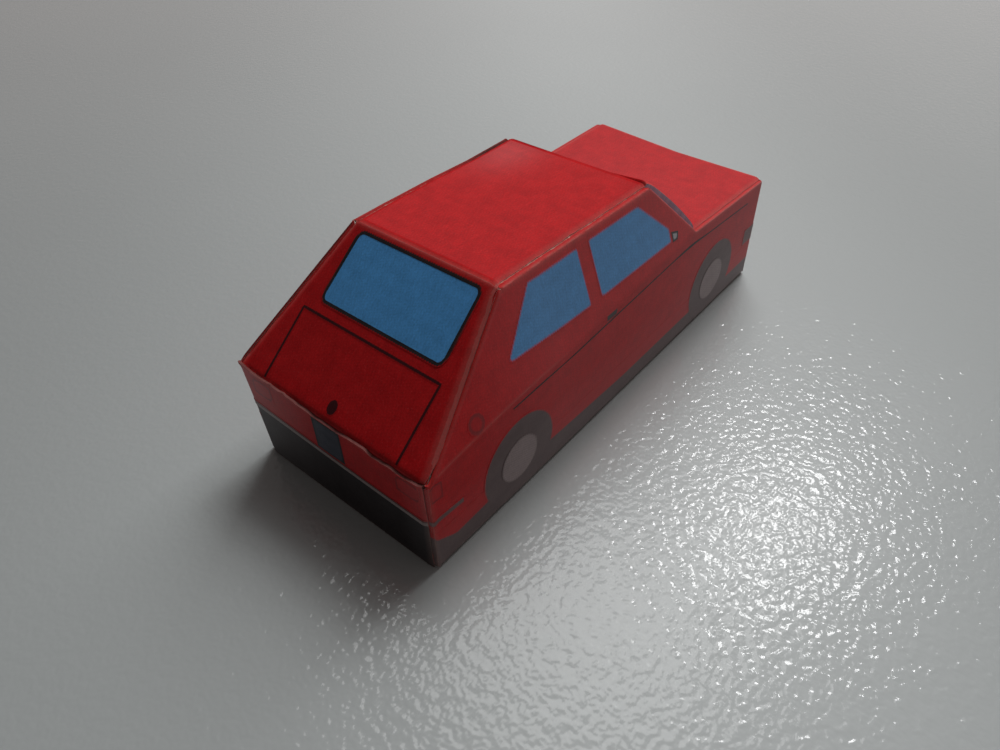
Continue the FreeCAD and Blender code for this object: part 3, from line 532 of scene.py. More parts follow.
def thick_mesh(name, sheets, materials):
    """A mesh of thin sheets: a printed face, an inner face and the cut wall that joins them."""
    spots, faces, stuff = [], [], []
    marks = {"place": [], "fold": [], "cut": [], "rim": [], "painted_light": []}
    base = 0
    for sheet in sheets:
        points = sheet["points"].reshape(-1, 3)
        normals = sheet["normals"].reshape(-1, 3)
        quads = sheet.get("quads")
        if quads is None:
            quads = grid_quads(sheet["points"].shape[:2])
        quads = face_outward(points, normals, quads)
        count = len(points)
        depth = np.broadcast_to(sheet["depth"], sheet["points"].shape[:-1]).reshape(-1, 1)
        spots += [points, points - normals * depth]
        edges = together(quads, np.roll(quads, -1, axis=1)).reshape(-1, 2)
        keys = {(a, b) for a, b in edges.tolist()}
        rims = np.array([(a, b) for a, b in edges.tolist() if (b, a) not in keys])
        walls = together(rims[:, 0], rims[:, 0] + count, rims[:, 1] + count, rims[:, 1])
        for slot, part in enumerate((quads, quads[:, ::-1] + count, walls)):
            faces.append(part + base)
            stuff += [slot] * len(part)
        for mark, values in marks.items():
            given = sheet.get(mark, np.full(sheet["points"].shape[:-1], FAR))
            # The painted sheen and shade mark is worked out from each point's place and facing.
            if mark == "painted_light":
                given = painted_light_at(sheet["points"], sheet["normals"])
            flat_values = np.asarray(given, float).reshape(count, -1)
            values += [flat_values, flat_values]
        base += 2 * count
    mesh = bpy.data.meshes.new(name)
    mesh.from_pydata((np.concatenate(spots) * MM).tolist(), [], np.concatenate(faces).tolist())
    for material in materials:
        mesh.materials.append(material)
    mesh.polygons.foreach_set("material_index", stuff)
    mesh.polygons.foreach_set("use_smooth", [True] * len(mesh.polygons))
    for mark in ("fold", "cut", "rim", "painted_light"):
        values = np.concatenate(marks[mark])[:, 0]
        carried = mesh.attributes.new(mark, "FLOAT", "POINT").data
        carried.foreach_set("value", values.astype(np.float32))
    corner_vertices = np.empty(len(mesh.loops), int)
    mesh.loops.foreach_get("vertex_index", corner_vertices)
    places = np.concatenate(marks["place"])[corner_vertices] * MM
    mesh.uv_layers.new(name="print").data.foreach_set("uv", places.astype(np.float32).ravel())
    clean = bmesh.new()
    clean.from_mesh(mesh)
    bmesh.ops.remove_doubles(clean, verts=clean.verts, dist=0.0004 * MM)
    bmesh.ops.dissolve_degenerate(clean, edges=clean.edges, dist=0.0002 * MM)
    for edge in clean.edges:
        touching = {face.material_index for face in edge.link_faces}
        edge.smooth = len(touching) < 2
    clean.to_mesh(mesh)
    clean.free()
    return mesh


def add_piece(name, sheets, materials, nodes):
    """One piece of the model, riding on its body in place of the plain solids that it dresses."""
    piece = bpy.data.objects.new(name, thick_mesh(name, sheets, materials))
    bpy.context.scene.collection.objects.link(piece)
    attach(piece, "root")
    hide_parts(*nodes)


def wander(places, seed, pitch):
    """A smooth random walk between about -1 and 1, the same on every run."""
    return np.array([
        2 * noise.noise(Vector((place / pitch, seed * 7.31, seed * 3.17)))
        for place in np.ravel(places)
    ]).reshape(np.shape(places))


def stations(start, stop, step, fine=0.0):
    """Places from start to stop, with closer ones next to each end."""
    count = max(2, int(round((stop - start) / step)) + 1)
    places = np.linspace(start, stop, count)
    if fine:
        near = np.linspace(0, fine, 5)
        inner = places[(places > start + fine * 1.2) & (places < stop - fine * 1.2)]
        places = np.concatenate([start + near, inner, stop - near[::-1]])
    return places


def tail_top_edge(across):
    """How far the tail's top edge, cut by hand with scissors, strays from its line."""
    return 0.06 * wander(across, 5, 0.8) - np.interp(across, CUT_ACROSS, CUT_SHORT)


for flat, node in enumerate(FLATS):
    along = stations(0.0, lengths[flat], 0.25, BEND)
    share = along / lengths[flat]
    half = half_width(flat, share)
    if flat == TAB:
        half = np.interp(lengths[TAB] - along, [0.7, 1.6], [STRIP_HALF, tab_high[1]])
    side_view = corners[flat] + along[:, None] * ways[flat]
    lip = np.exp(-((side_view[:, 0] - corners[ROOF][0]) / 0.35) ** 2)
    right = half + 0.03 * wander(along, 10 + flat, 1.7) + 0.018 * wander(along, 30 + flat, 0.5)
    right = right + 0.3 * lip
    left = half + 0.06 * wander(along, 50 + flat, 1.5) + 0.04 * wander(along, 70 + flat, 0.45)
    left = left + 0.2 * lip + left_spread(*side_view.T)
    if flat == HATCH:
        right = right + HATCH_WIDER * np.clip(10 * share * (1 - share), 0, 1)
    columns = np.linspace(0, 1, int(2 * STRIP_HALF / 0.3))
    across = -right[:, None] + (left + right)[:, None] * columns
    reach = np.repeat(along[:, None], len(columns), axis=1)
    if flat == TAIL:
        reach = reach + tail_top_edge(across) * share[:, None] ** 4
    sheet = strip_sheet(flat, across, reach)
    near_fold = np.clip(np.minimum(reach, lengths[flat] - reach) / BEND, 0, 1)
    sheet["depth"] = CARD * (1 - CREASED * (1 - near_fold))
    from_right = across + right[:, None]
    if flat == SCREEN:
        at_edge = np.clip(1 - from_right / 0.3, 0, 1)
        shown = SCREEN_EDGE * at_edge * np.sin(math.pi * share[:, None]) ** 0.3
        sheet["depth"] = sheet["depth"] + shown
    sheet["cut"] = np.minimum(sheet["cut"], from_right)
    skin = card_back if flat == FLOOR else red_print
    slot = "bare_card" if flat in (FLOOR, TAB) else "red_card"
    edge_skin = {SCREEN: screen_edge, FLOOR: floor_edge_in_painted_shade, TAIL: tail_edge}.get(flat, red_edge)
    add_piece(f"card_{node}", [sheet], [skin, card_back, edge_skin], [node])


# The sides
# Each side is one sheet, creased along the belt so that its upper part leans in over the windows.
# Its edges roll over into glue tabs, and a sliver of each fold shows beside the strip.

CREASE = 0.35
CREASE_SWELL = 0.27
SIDE_BOW = 0.1
TAB_REACH = 2.5
NIP = 0.05

# Where the sides lie on the flat sheet, so that their clouds of ink differ from the strip's.
SIDE_PLACE = np.array([70.0, 30.0])
LEFT_PLACE = np.array([0.0, 40.0])


def mitred_corners(depth):
    """The strip's inner corners, where two flats' inner faces meet."""
    inner = []
    for index in range(1, len(corners) - 1):
        faces = outward(ways[index - 1:index + 1])
        inner.append(np.linalg.solve(faces, faces @ corners[index] - depth))
    return np.array(inner)


inner_corners = mitred_corners(CARD)
SIDE_REAR, SIDE_FRONT = TAIL_X + CARD, NOSE_X - CARD
SIDE_Y = limits("side_left_lower")[1][1]
FLOOR_TOP = CARD
belt_rear = tail_high[2]
belt_slope = (corners[BONNET][1] - belt_rear) / (corners[BONNET][0] - TAIL_X)
roof_rise = corners[ROOF][1] - (belt_rear + belt_slope * (corners[ROOF][0] - TAIL_X))
LEAN = math.atan2(STRIP_HALF - roof_rear_half, roof_rise)


def under_strip(x):
    """Height of the strip's inner face over a place along the car."""
    first, way = inner_corners[0], ways[HATCH]
    foot = first + way * (SIDE_REAR - first[0]) / way[0]
    line = np.vstack([foot, inner_corners[1:5]])
    return np.interp(x, line[:, 0], line[:, 1])


def belt_line(x):
    return belt_rear + belt_slope * (x - TAIL_X)


def crease_height(x):
    """Height of the belt crease, which bows up a little behind the door, or of the side's top edge
    where that is lower."""
    swell = CREASE_SWELL * np.sin(math.pi * np.clip((x - TAIL_X) / 16.0, 0, 1)) ** 0.8
    return np.minimum(belt_line(x) + swell, under_strip(x))


def side_climb(x, z):
    """Distance up the side from the crease, for a place in side view."""
    above = z - crease_height(x)
    return np.where(above > 0, above / math.cos(LEAN), above)


def side_section(x, climb):
    """Inward shift, height and normal of the side at a distance up from the crease."""
    belt = crease_height(x)
    rise = (under_strip(x) - belt) / math.cos(LEAN)
    soft = np.minimum(CREASE, 0.3 * rise) + 1e-6
    turn = np.clip(0.5 + 0.5 * climb / soft, 0, 1)
    up = np.where(climb > 0, climb, 0)
    inward = up * math.sin(LEAN)
    z = belt + up * math.cos(LEAN) + np.minimum(climb, 0)
    bent = np.abs(climb) < soft
    inward = np.where(bent, soft * math.sin(LEAN) * turn ** 2, inward)
    curved = belt - soft * (1 - turn) ** 2 + soft * math.cos(LEAN) * turn ** 2
    z = np.where(bent, curved, z)
    slope = np.stack([turn * math.sin(LEAN), (1 - turn) + turn * math.cos(LEAN)])
    slope = slope / np.hypot(*slope)
    normal = together(np.zeros_like(z), -slope[1], slope[0])
    low = np.clip((FLOOR_TOP + BEND - z) / (2 * BEND), 0, None)
    rolled = np.minimum(low, 1)
    under = low > 0
    inward = np.where(under, BEND * rolled ** 2 + 2 * BEND * (low - rolled), inward)
    z = np.where(under, FLOOR_TOP + BEND * (1 - rolled) ** 2, z)
    down = together(np.zeros_like(z), rolled - 1, -rolled)
    down /= np.hypot(down[..., 1], down[..., 2])[..., None]
    normal = np.where(under[..., None], down, normal)
    return inward, z, normal


def side_point(x, climb, lift=0.0):
    """Points and normals on the right side's printed face, rolling over its ends onto the tabs."""
    x, climb = matched(x, climb)
    inside = np.clip(x, SIDE_REAR + BEND, SIDE_FRONT - BEND)
    inward, z, normal = side_section(inside, climb)
    along = (inside - SIDE_REAR) / (SIDE_FRONT - SIDE_REAR)
    up = np.clip((z - FLOOR_TOP) / (crease_height(inside) - FLOOR_TOP), 0, 1)
    bow = SIDE_BOW * np.sin(math.pi * along) ** 0.7 * np.sin(math.pi * up) * (climb < 0)
    past = np.abs(x - inside) / (2 * BEND)
    facing = np.sign(x - inside)
    turn = np.minimum(past, 1)
    end = np.where(facing < 0, SIDE_REAR, SIDE_FRONT)
    curled = past > 0
    spot_x = np.where(curled, end - facing * BEND * (1 - turn) ** 2, x)
    at_low = curled & (z < FLOOR_TOP + BEND)
    inward = np.where(at_low, 0, inward)
    inward = np.where(curled, inward + BEND * turn ** 2 + 2 * BEND * (past - turn), inward)
    curl = together(facing * turn, turn - 1, np.zeros_like(turn))
    curl /= np.hypot(curl[..., 0], curl[..., 1])[..., None]
    normal = np.where(curled[..., None], curl, normal)
    points = together(spot_x, inward - bow - SIDE_Y, z)
    return points + normal * np.asarray(lift)[..., None], normal


def side_sheet(x, climb, lift=0.0):
    """Points on the right side with the print's coordinates and the distances to its folds."""
    points, normals = side_point(x, climb, lift)
    x, climb = matched(x, climb)
    inside = np.clip(x, SIDE_REAR, SIDE_FRONT)
    top = side_climb(inside, under_strip(inside))
    bottom = FLOOR_TOP - crease_height(inside)
    unworn = np.interp(x, [-12.0, -7.0], [0.03, 0.4])
    crease = np.where(top > CREASE, np.abs(climb) * 1.6 + unworn, FAR)
    ends = np.minimum(np.abs(x - SIDE_REAR), np.abs(SIDE_FRONT - x))
    edges = np.minimum(np.abs(top - climb), np.abs(climb - bottom))
    place = together(x, climb) + SIDE_PLACE
    fold = np.minimum(np.minimum(crease, ends), edges)
    return {"points": points, "normals": normals, "place": place, "fold": fold}


def on_left(sheet):
    """The same sheet on the car's left side, which stands further out at the tail."""
    flip = np.array([1.0, -1.0, 1.0])
    points = sheet["points"] * flip
    points[..., 1] += left_spread(points[..., 0], points[..., 2])
    turned = {"points": sprung(points), "normals": sheet["normals"] * flip}
    return {**sheet, **turned, "place": sheet["place"] + LEFT_PLACE}


def add_both_sides(kind, part, sheets, materials):
    """A piece of the right side, and the same on the left."""
    for side, placed in (("right", sheets), ("left", [on_left(sheet) for sheet in sheets])):
        node = f"side_{side}_{part}"
        add_piece(f"{kind}_{node}", placed, materials, [node])


top_breaks = inner_corners[1:4, 0]
roll_in = 2 * BEND * np.linspace(1, 0, 6)[:-1]
side_columns = np.concatenate([
    SIDE_REAR + BEND - roll_in,
    stations(SIDE_REAR + BEND, SIDE_FRONT - BEND, 0.3),
    SIDE_FRONT - BEND + roll_in[::-1],
])
nips = (top_breaks[:, None] + np.array([-NIP - 0.02, -NIP, 0, NIP, NIP + 0.02])).ravel()
above_belt = side_columns[under_strip(side_columns) > crease_height(side_columns) + 0.01]
UPPER_REAR, UPPER_FRONT = above_belt[0], above_belt[-1]
side_columns = np.unique(np.concatenate([side_columns, nips]))
on_side = np.clip(side_columns, SIDE_REAR, SIDE_FRONT)
column = side_columns[:, None]
top = side_climb(on_side, under_strip(on_side))[:, None]
bottom = (FLOOR_TOP - crease_height(on_side))[:, None]
soft = np.minimum(CREASE, 0.3 * top)
under_floor = bottom + BEND - roll_in
lower_reach = np.minimum(-soft, top - BEND) - bottom - BEND
lower_rows = bottom + BEND + lower_reach * np.linspace(0, 1, 32)
crease_rows = np.minimum(soft * np.linspace(-1, 1, 9)[1:], top - BEND)
above_crease = np.minimum(soft, top - BEND)
upper_rows = above_crease + (top - BEND - above_crease) * np.linspace(0, 1, 25)[1:]
climb = np.concatenate([under_floor, lower_rows, crease_rows, upper_rows], axis=1)
split_row = under_floor.shape[1] + lower_rows.shape[1] + 3
whole = side_sheet(column + 0 * climb, climb)

turn = np.linspace(0, 1, 6)[1:]
nipped = np.min(np.abs(on_side[:, None] - top_breaks), axis=1) < NIP + 0.01
start, side_out = side_point(side_columns, climb[:, -1])
edge, _ = side_point(side_columns, top[:, 0])
rolled = (
    start[:, None] * (1 - turn[:, None]) ** 2
    + 2 * (edge + np.array([0, 0, 0.12]))[:, None] * (turn * (1 - turn))[:, None]
    + (edge + np.array([0, BEND, 0]))[:, None] * turn[:, None] ** 2
)
straight = start[:, None] * (1 - turn[:, None]) + edge[:, None] * turn[:, None]
over = np.where(nipped[:, None, None], straight, rolled)
strip_out = outward(ways[HATCH + np.searchsorted(top_breaks, on_side)])
strip_out = together(strip_out[:, 0], 0 * on_side, strip_out[:, 1])
last_out = np.where(nipped[:, None], side_out, strip_out)[:, None]
over_out = side_out[:, None] * (1 - turn[:, None]) + last_out * turn[:, None]
over_out /= np.linalg.norm(over_out, axis=-1, keepdims=True)
over_place = whole["place"][:, -1:] + together(0 * turn, 2 * BEND * turn)
over_fold = np.abs(turn - 0.5) * 2 * BEND + 0 * column
rolled_over = {"points": over, "normals": over_out, "place": over_place, "fold": over_fold}
for key, values in rolled_over.items():
    whole[key] = np.concatenate([whole[key], values], axis=1)
hatch_unworn = np.interp(on_side, corners[ROOF][0] + np.array([-0.5, 0.5]), [0.12, 0.0])
whole["fold"][:, -12:] += hatch_unworn[:, None]
whole["cut"] = np.full(whole["fold"].shape, FAR)
whole["depth"] = CARD * (1 - CREASED * (1 - np.clip(whole["fold"] / BEND, 0, 1)))
columns, rows = whole["fold"].shape
quads = grid_quads((columns, rows)).reshape(columns - 1, rows - 1, 4)
in_upper = np.zeros((columns - 1, rows - 1), bool)
has_upper = (side_columns[:-1] >= UPPER_REAR - 1e-6) & (side_columns[1:] <= UPPER_FRONT + 1e-6)
in_upper[has_upper, split_row:] = True
for part, chosen in (("lower", ~in_upper), ("upper", in_upper)):
    face = {**whole, "quads": quads[chosen]}
    add_both_sides("card", part, [face], [red_print, card_back, red_edge])


# Glue tabs
# Seven tabs on each side, folded in and glued under the strip. Each is nipped short and slanted at
# both ends, so a dark notch shows at each corner. Red ink runs a little way over the fold.

SLANT = 0.8


def tab(start, stop, place):
    """A tab between two places on a fold, reaching inwards and narrowing from there."""
    deep = np.linspace(BEND, TAB_REACH, 9)[:, None]
    length = np.linalg.norm(stop - start)
    shy = (NIP + SLANT * (deep - BEND)) / length
    share = shy + (1 - 2 * shy) * np.linspace(0, 1, max(4, int(length / 0.8)))
    spots = start + (stop - start) * share[..., None] + np.array([0.0, 1.0, 0.0]) * deep[..., None]
    out = np.cross((stop - start) / length, [0.0, 1.0, 0.0])
    spread = together(place + share * length, 60 + deep + 0 * share)
    return {
        "points": spots, "normals": np.broadcast_to(out, spots.shape),
        "place": spread, "fold": deep + 0 * share, "depth": CARD,
    }


def tab_print():
    """Ink over the fold, then bare card with glue stains."""
    material = printed("Glue tab", RED_INK, None)
    tree = material.node_tree
    shader = tree.nodes["Principled BSDF"]
    red = shader.inputs["Base Color"].links[0].from_socket
    place = sheet_place(tree)
    ragged = plus(tree, mark_of(tree, "fold"), times(tree, noise_at(tree, place, 3.0, 3.0), 0.3))
    clouds = ramp(tree, noise_at(tree, place, 1.3, 4.0, 0.65), 0.4, 0.68)
    bare = blend_colours(tree, clouds, (0.5, 0.42, 0.35, 1), (0.25, 0.15, 0.12, 1))
    over_fold = blend_colours(tree, ramp(tree, ragged, 0.55, 0.8), red, bare)
    tree.links.new(over_fold, shader.inputs["Base Color"])
    return material


edges_above = np.concatenate([[SIDE_REAR], top_breaks, [SIDE_FRONT]])
folds = []
for fold_ends in zip(edges_above[:-1], edges_above[1:]):
    spots = []
    for x in fold_ends:
        on_flat = min(max(x, SIDE_REAR + BEND), SIDE_FRONT - BEND)
        spot = side_point(on_flat, side_climb(x, under_strip(x)))[0]
        spot[0], spot[2] = x, under_strip(x)
        spots.append(spot)
    folds.append(spots)
ends_and_foot = np.array([
    (SIDE_FRONT, -SIDE_Y, under_strip(SIDE_FRONT)),
    (SIDE_FRONT, -SIDE_Y, FLOOR_TOP),
    (SIDE_REAR, -SIDE_Y, FLOOR_TOP),
    (SIDE_REAR, -SIDE_Y, under_strip(SIDE_REAR)),
])
folds += zip(ends_and_foot[:-1], ends_and_foot[1:])
tabs = [tab(start, stop, 12.0 * count) for count, (start, stop) in enumerate(folds)]
add_both_sides("card", "tabs", tabs, [tab_print(), card_back, card_back])


# Rear window
# Mid-blue glass with rounded corners inside a black border, both printed on the hatch. A print is
# a film of ink just proud of the card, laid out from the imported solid's own outline.

SIDE = -1
INK_LIFT = 0.016
INK_DEPTH = 0.035
NEAR_FACE = 0.012


def flattened(face, points):
    """Places in space as places on a flat of the strip, or along the right side and up from its
    crease, with their distance from that face."""
    if face == SIDE:
        x, z = points[:, 0], points[:, 2]
        lean_in = np.maximum(z - belt_line(x), 0) * math.tan(LEAN)
        return together(x, side_climb(x, z)), points[:, 1] + SIDE_Y - lean_in
    side_view = points[:, [0, 2]] - corners[face]
    places = together(points[:, 1], side_view @ ways[face])
    return places, side_view @ outward(ways[face])


def cad_outlines(node, face):
    """The outline of each printed area of a node, going round it, in its flat's own places."""
    spots = cad_spots(node)
    _, same = np.unique(np.round(spots, 3), axis=0, return_inverse=True)
    same = same.ravel()
    ends = np.array([edge.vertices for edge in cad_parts[node].data.edges])
    label = same.copy()
    for _ in range(200):
        low = np.minimum(label[ends[:, 0]], label[ends[:, 1]])
        spread = label.copy()
        np.minimum.at(spread, ends[:, 0], low)
        np.minimum.at(spread, ends[:, 1], low)
        least = np.full(label.max() + same.max() + 2, len(label))
        np.minimum.at(least, same, spread)
        spread = least[same]
        if (spread == label).all():
            break
        label = spread
    places, away = flattened(face, spots)
    outlines = []
    for part in np.unique(label):
        chosen = places[(label == part) & (np.abs(away) < NEAR_FACE)]
        outlines.append(chosen[convex_hull_2d([Vector(place) for place in chosen])])
    return sorted(outlines, key=lambda outline: outline[:, 0].min())


def depth_inside(outline, places):
    """Distance from each place to the nearest edge of an outline."""
    best = np.full(places.shape[:-1], np.inf)
    for start, stop in zip(outline, np.roll(outline, -1, axis=0)):
        way = stop - start
        size = way @ way
        if size > 1e-12:
            share = np.clip(((places - start) @ way) / size, 0, 1)
            gap = places - start - share[..., None] * way
            best = np.minimum(best, np.linalg.norm(gap, axis=-1))
    return best


def filled(outline, step=0.4):
    """Rows of places that fill a convex outline."""
    low, high = outline[:, 1].min(), outline[:, 1].max()
    count = max(3, int((high - low) / step))
    rows = np.unique(np.round(np.concatenate([np.linspace(low, high, count), outline[:, 1]]), 4))
    rows[0], rows[-1] = low + 1e-4, high - 1e-4
    starts, stops = outline, np.roll(outline, -1, axis=0)
    spans = []
    for row in rows:
        crossing = (starts[:, 1] - row) * (stops[:, 1] - row) <= 0
        a, b = starts[crossing], stops[crossing]
        rise = np.where(np.abs(b[:, 1] - a[:, 1]) < 1e-9, 1, b[:, 1] - a[:, 1])
        across = a[:, 0] + (b[:, 0] - a[:, 0]) * (row - a[:, 1]) / rise
        spans.append((across.min(), across.max()))
    spans = np.array(spans)
    width = max(4, int((outline[:, 0].max() - outline[:, 0].min()) / step) + 1)
    share = np.linspace(0, 1, width)
    across = spans[:, :1] + (spans[:, 1:] - spans[:, :1]) * share
    return together(across, rows[:, None] + 0 * across)


def ring(outer, inner, steps=4):
    """Places that fill the border between two convex outlines."""
    centre = inner.mean(axis=0)
    angles = np.linspace(-math.pi, math.pi, 181)[:-1]
    for outline in (outer, inner):
        spokes = outline - centre
        angles = np.concatenate([angles, np.arctan2(spokes[:, 1], spokes[:, 0])])
    angles = np.unique(np.round(angles, 5))
    angles = np.append(angles, angles[0] + 2 * math.pi)
    way = together(np.cos(angles), np.sin(angles))

    def reach(outline):
        best = np.full(len(angles), np.inf)
        for start, stop in zip(outline - centre, np.roll(outline, -1, axis=0) - centre):
            side = stop - start
            cross = way[:, 0] * side[1] - way[:, 1] * side[0]
            cross = np.where(np.abs(cross) < 1e-12, 1e-12, cross)
            out = (start[0] * side[1] - start[1] * side[0]) / cross
            share = (start[0] * way[:, 1] - start[1] * way[:, 0]) / cross
            good = (out > 0) & (share > -1e-6) & (share < 1 + 1e-6)
            best = np.where(good, np.minimum(best, out), best)
        return best

    near, far = reach(inner), reach(outer)
    share = np.linspace(0, 1, steps)
    radius = near[:, None] + (far - near)[:, None] * share
    return centre + way[:, None] * radius[..., None]


def stroke(path, width, steps):
    """Places along a line of even width."""
    way = np.gradient(path, axis=0)
    way /= np.linalg.norm(way, axis=-1, keepdims=True)
    across = together(-way[:, 1], way[:, 0])
    offsets = np.linspace(-width / 2, width / 2, steps)
    return path[:, None] + across[:, None] * offsets[:, None]


def film(face, places, rim, layer=0):
    """Ink over places on a flat of the strip or on the right side. Its rim is how far each place is
    inside its edge, and a higher layer lies over what is printed under it."""
    x, y, lift = places[..., 0], places[..., 1], INK_LIFT * (1 + layer)
    sheet = side_sheet(x, y, lift) if face == SIDE else strip_sheet(face, x, y, lift)
    return {**sheet, "rim": rim + 0 * x, "depth": INK_DEPTH}


def film_inside(outline, face, step=0.4, layer=0, spread=0.0):
    places = filled(outline, step)
    return film(face, places, depth_inside(outline, places) + spread, layer)


def films_of(node, face, *how):
    """A film over each printed area of a node."""
    return [film_inside(outline, face, *how) for outline in cad_outlines(node, face)]


def add_print(node, films, material):
    add_piece(f"print_{node}", films, [material] * 3, [node])


def add_window(face, glass_node, frame_node):
    """A window's blue, and the black border that lies over its edge."""
    glass, border = cad_outlines(glass_node, face)[0], cad_outlines(frame_node, face)[0]
    add_print(glass_node, [film(face, filled(glass), FAR)], blue_print)
    places = ring(border, glass)
    rim = depth_inside(border, places)
    add_print(frame_node, [film(face, places, rim, 1)], black_print)


BLACK_INK = ((0.025, 0.021, 0.022, 1), (0.012, 0.01, 0.012, 1))
# Painted light: this blue, used for the rear window and windscreen, is painted paler than the side
# windows' blue, standing in for light the shaded hatch lacks.
blue_print = printed(
    "Blue window print", ((0.08, 0.31, 0.66, 1), (0.07, 0.27, 0.57, 1)),
    dots=0.04, mottle=0.75, soft=0.12,
)
black_print = printed("Black print", BLACK_INK, dots=0.03, mottle=0.5, soft=0.13, dotted=0.3)
add_window(HATCH, "rear_window_glass", "rear_window_frame")


# Boot lid
# A fine black line round the lid and a small oval lock, printed on the hatch.

fine_print = printed(
    "Fine black line", ((0.05, 0.008, 0.01, 1), (0.03, 0.006, 0.008, 1)),
    dots=0.03, mottle=0.5, soft=0.09,
)
lid = cad_outlines("hatch_lid_line", HATCH)[0]
lid_side = lid[lid[:, 1] < lid[:, 1].min() + 0.05, 0].min()
lid_solid = cad_spots("hatch_lid_line")
inner_side = lid_solid[(lid_solid[:, 1] > lid_side + 0.05) & (lid_solid[:, 1] < 0), 1].min()
LID_LINE = 1.5 * (inner_side - lid_side)
first = np.lexsort((lid[:, 0], np.round(lid[:, 1], 3)))[0]
lid = np.roll(lid, -first, axis=0)
if lid[1, 1] < lid[-1, 1]:
    lid = np.roll(lid[::-1], 1, axis=0)
centre = lid.mean(axis=0)
half_lid = np.abs(lid - centre).max(axis=0)
lid_path = centre + (lid - centre) * (1 - 0.5 * (inner_side - lid_side) / half_lid)
lid_path[[0, -1], 1] = lid[[0, -1], 1]
steps = np.concatenate([[0], np.cumsum(np.linalg.norm(np.diff(lid_path, axis=0), axis=1))])
spaced = np.linspace(0, steps[-1], 160)
lid_path = together(*(np.interp(spaced, steps, values) for values in lid_path.T))
rim = LID_LINE / 2 - np.abs(np.linspace(-LID_LINE / 2, LID_LINE / 2, 5))
line_film = film(HATCH, stroke(lid_path, LID_LINE, 5), rim)
add_print("hatch_lid_line", [line_film], fine_print)
add_print("hatch_lock", films_of("hatch_lock", HATCH, 0.12), fine_print)


# Tail prints
# A black valance under a grey bumper line with a dark border, a blank dark plate and two faintly
# outlined lamps. The bumper line was printed a little askew, higher on the left.

ASKEW = 0.025
BORDER = 0.3
grey_print = printed(
    "Grey print", ((0.1, 0.03, 0.03, 1), (0.07, 0.02, 0.02, 1)),
    heart=((0.27, 0.23, 0.225, 1), (0.2, 0.17, 0.17, 1), 0.26), dots=0.1, mottle=0.6, soft=0.14,
)
lamp_red_print = printed(
    "Tail lamp print", ((0.25, 0.014, 0.016, 1), (0.2, 0.01, 0.012, 1)),
    heart=((0.42, 0.016, 0.018, 1), DEEP_RED, 0.22), mottle=0.5, soft=0.12,
)
plate_print = printed(
    "Plate print", ((0.05, 0.058, 0.08, 1), (0.03, 0.034, 0.045, 1)), BLACK_INK,
    dots=0.06, mottle=0.6, soft=0.3,
)


def askew(places):
    """Tilts a print by a share that grows up the tail from its foot, and widens it to the left."""
    up = np.clip(places[..., 1] / limits("rear_bumper_line")[1][2], 0, 1)
    wider = np.clip(places[..., 0] / STRIP_HALF, 0, 1) * left_spread(TAIL_X, places[..., 1])
    return together(places[..., 0] + wider, places[..., 1] + ASKEW * places[..., 0] * up)


valance = cad_outlines("tail_valance", TAIL)[0]
valance[valance[:, 1] < valance[:, 1].mean(), 1] = -0.2
valance_film = film(TAIL, askew(filled(valance, 0.12)), FAR)
add_print("tail_valance", [valance_film], black_print)
line = cad_outlines("rear_bumper_line", TAIL)[0]
line[line[:, 1] > line[:, 1].mean(), 1] += BORDER
places = filled(line, 0.1)
line_film = film(TAIL, askew(places), line[:, 1].max() - places[..., 1], 1)
add_print("rear_bumper_line", [line_film], grey_print)
plate = cad_outlines("tail_plate", TAIL)[0]
plate = plate + np.where(plate[:, 1:] > plate[:, 1].mean(), (0, 0.22), (0, -0.4))
add_print("tail_plate", [film_inside(plate, TAIL)], plate_print)
add_print("tail_lamps", films_of("tail_lamps", TAIL), lamp_red_print)


# Windscreen
# Blue glass in a black border, printed on the short steep flat ahead of the roof.

add_window(SCREEN, "windscreen_glass", "windscreen_frame")


# Nose prints
# A plain black grille between two pale lamps, a grey bumper, a blank plate and a black valance.

lamp_print = printed(
    "Headlamp print", ((0.62, 0.62, 0.58, 1), (0.42, 0.42, 0.4, 1)), BLACK_INK,
    dots=0.1, mottle=0.4, soft=0.16,
)
for node, material, slot, layer in (
    ("nose_grille", black_print, "black_print", 0),
    ("headlamps", lamp_print, "lamp_print", 0),
    ("front_bumper", grey_print, "grey_print", 0),
    ("nose_plate", plate_print, "plate_print", 1),
    ("nose_valance", black_print, "black_print", 0),
):
    films = []
    for outline in cad_outlines(node, NOSE):
        if node == "nose_valance":
            outline[outline[:, 1] > outline[:, 1].mean(), 1] = lengths[NOSE] + 0.2
        places = filled(outline, 0.12)
        full_width = np.abs(outline[:, 0]).max() > STRIP_HALF - 0.1 and node != "headlamps"
        rim = FAR if full_width else depth_inside(outline, places)
        films.append(film(NOSE, places, rim, layer))
    add_print(node, films, material)


# Side prints
# Both sides carry two windows, a mirror, a door handle, a waist line, bumper and lamp wraps, pale
# hubs and the black of the tyres and sill. Only the right side has the fuel filler's ring.

OVER_END = 0.44
TYRE_INK = ((0.12, 0.085, 0.085, 1), (0.085, 0.06, 0.06, 1))
side_blue_print = printed(
    "Side window print", ((0.07, 0.25, 0.52, 1), (0.062, 0.22, 0.46, 1)),
    dots=0.04, mottle=0.7, soft=0.26,
)
mirror_print = printed(
    "Mirror print", BLACK_INK, heart=((0.32, 0.33, 0.35, 1), (0.24, 0.24, 0.26, 1), 0.16),
    dots=0.1, mottle=0.4, soft=0.05,
)
handle_print = printed(
    "Handle print", ((0.07, 0.05, 0.05, 1), (0.04, 0.03, 0.03, 1)), dots=0.1, mottle=0.6, soft=0.08,
)
waist_print = printed("Waist line print", BLACK_INK, mottle=0.5, soft=0.05)
wrap_print = printed(
    "Bumper wrap print", ((0.16, 0.09, 0.09, 1), (0.11, 0.06, 0.06, 1)),
    dots=0.1, mottle=0.6, soft=0.14,
)
hub_print = printed(
    "Hub print", ((0.26, 0.21, 0.21, 1), (0.21, 0.17, 0.17, 1)), TYRE_INK,
    dots=0.12, mottle=0.5, soft=0.25,
)
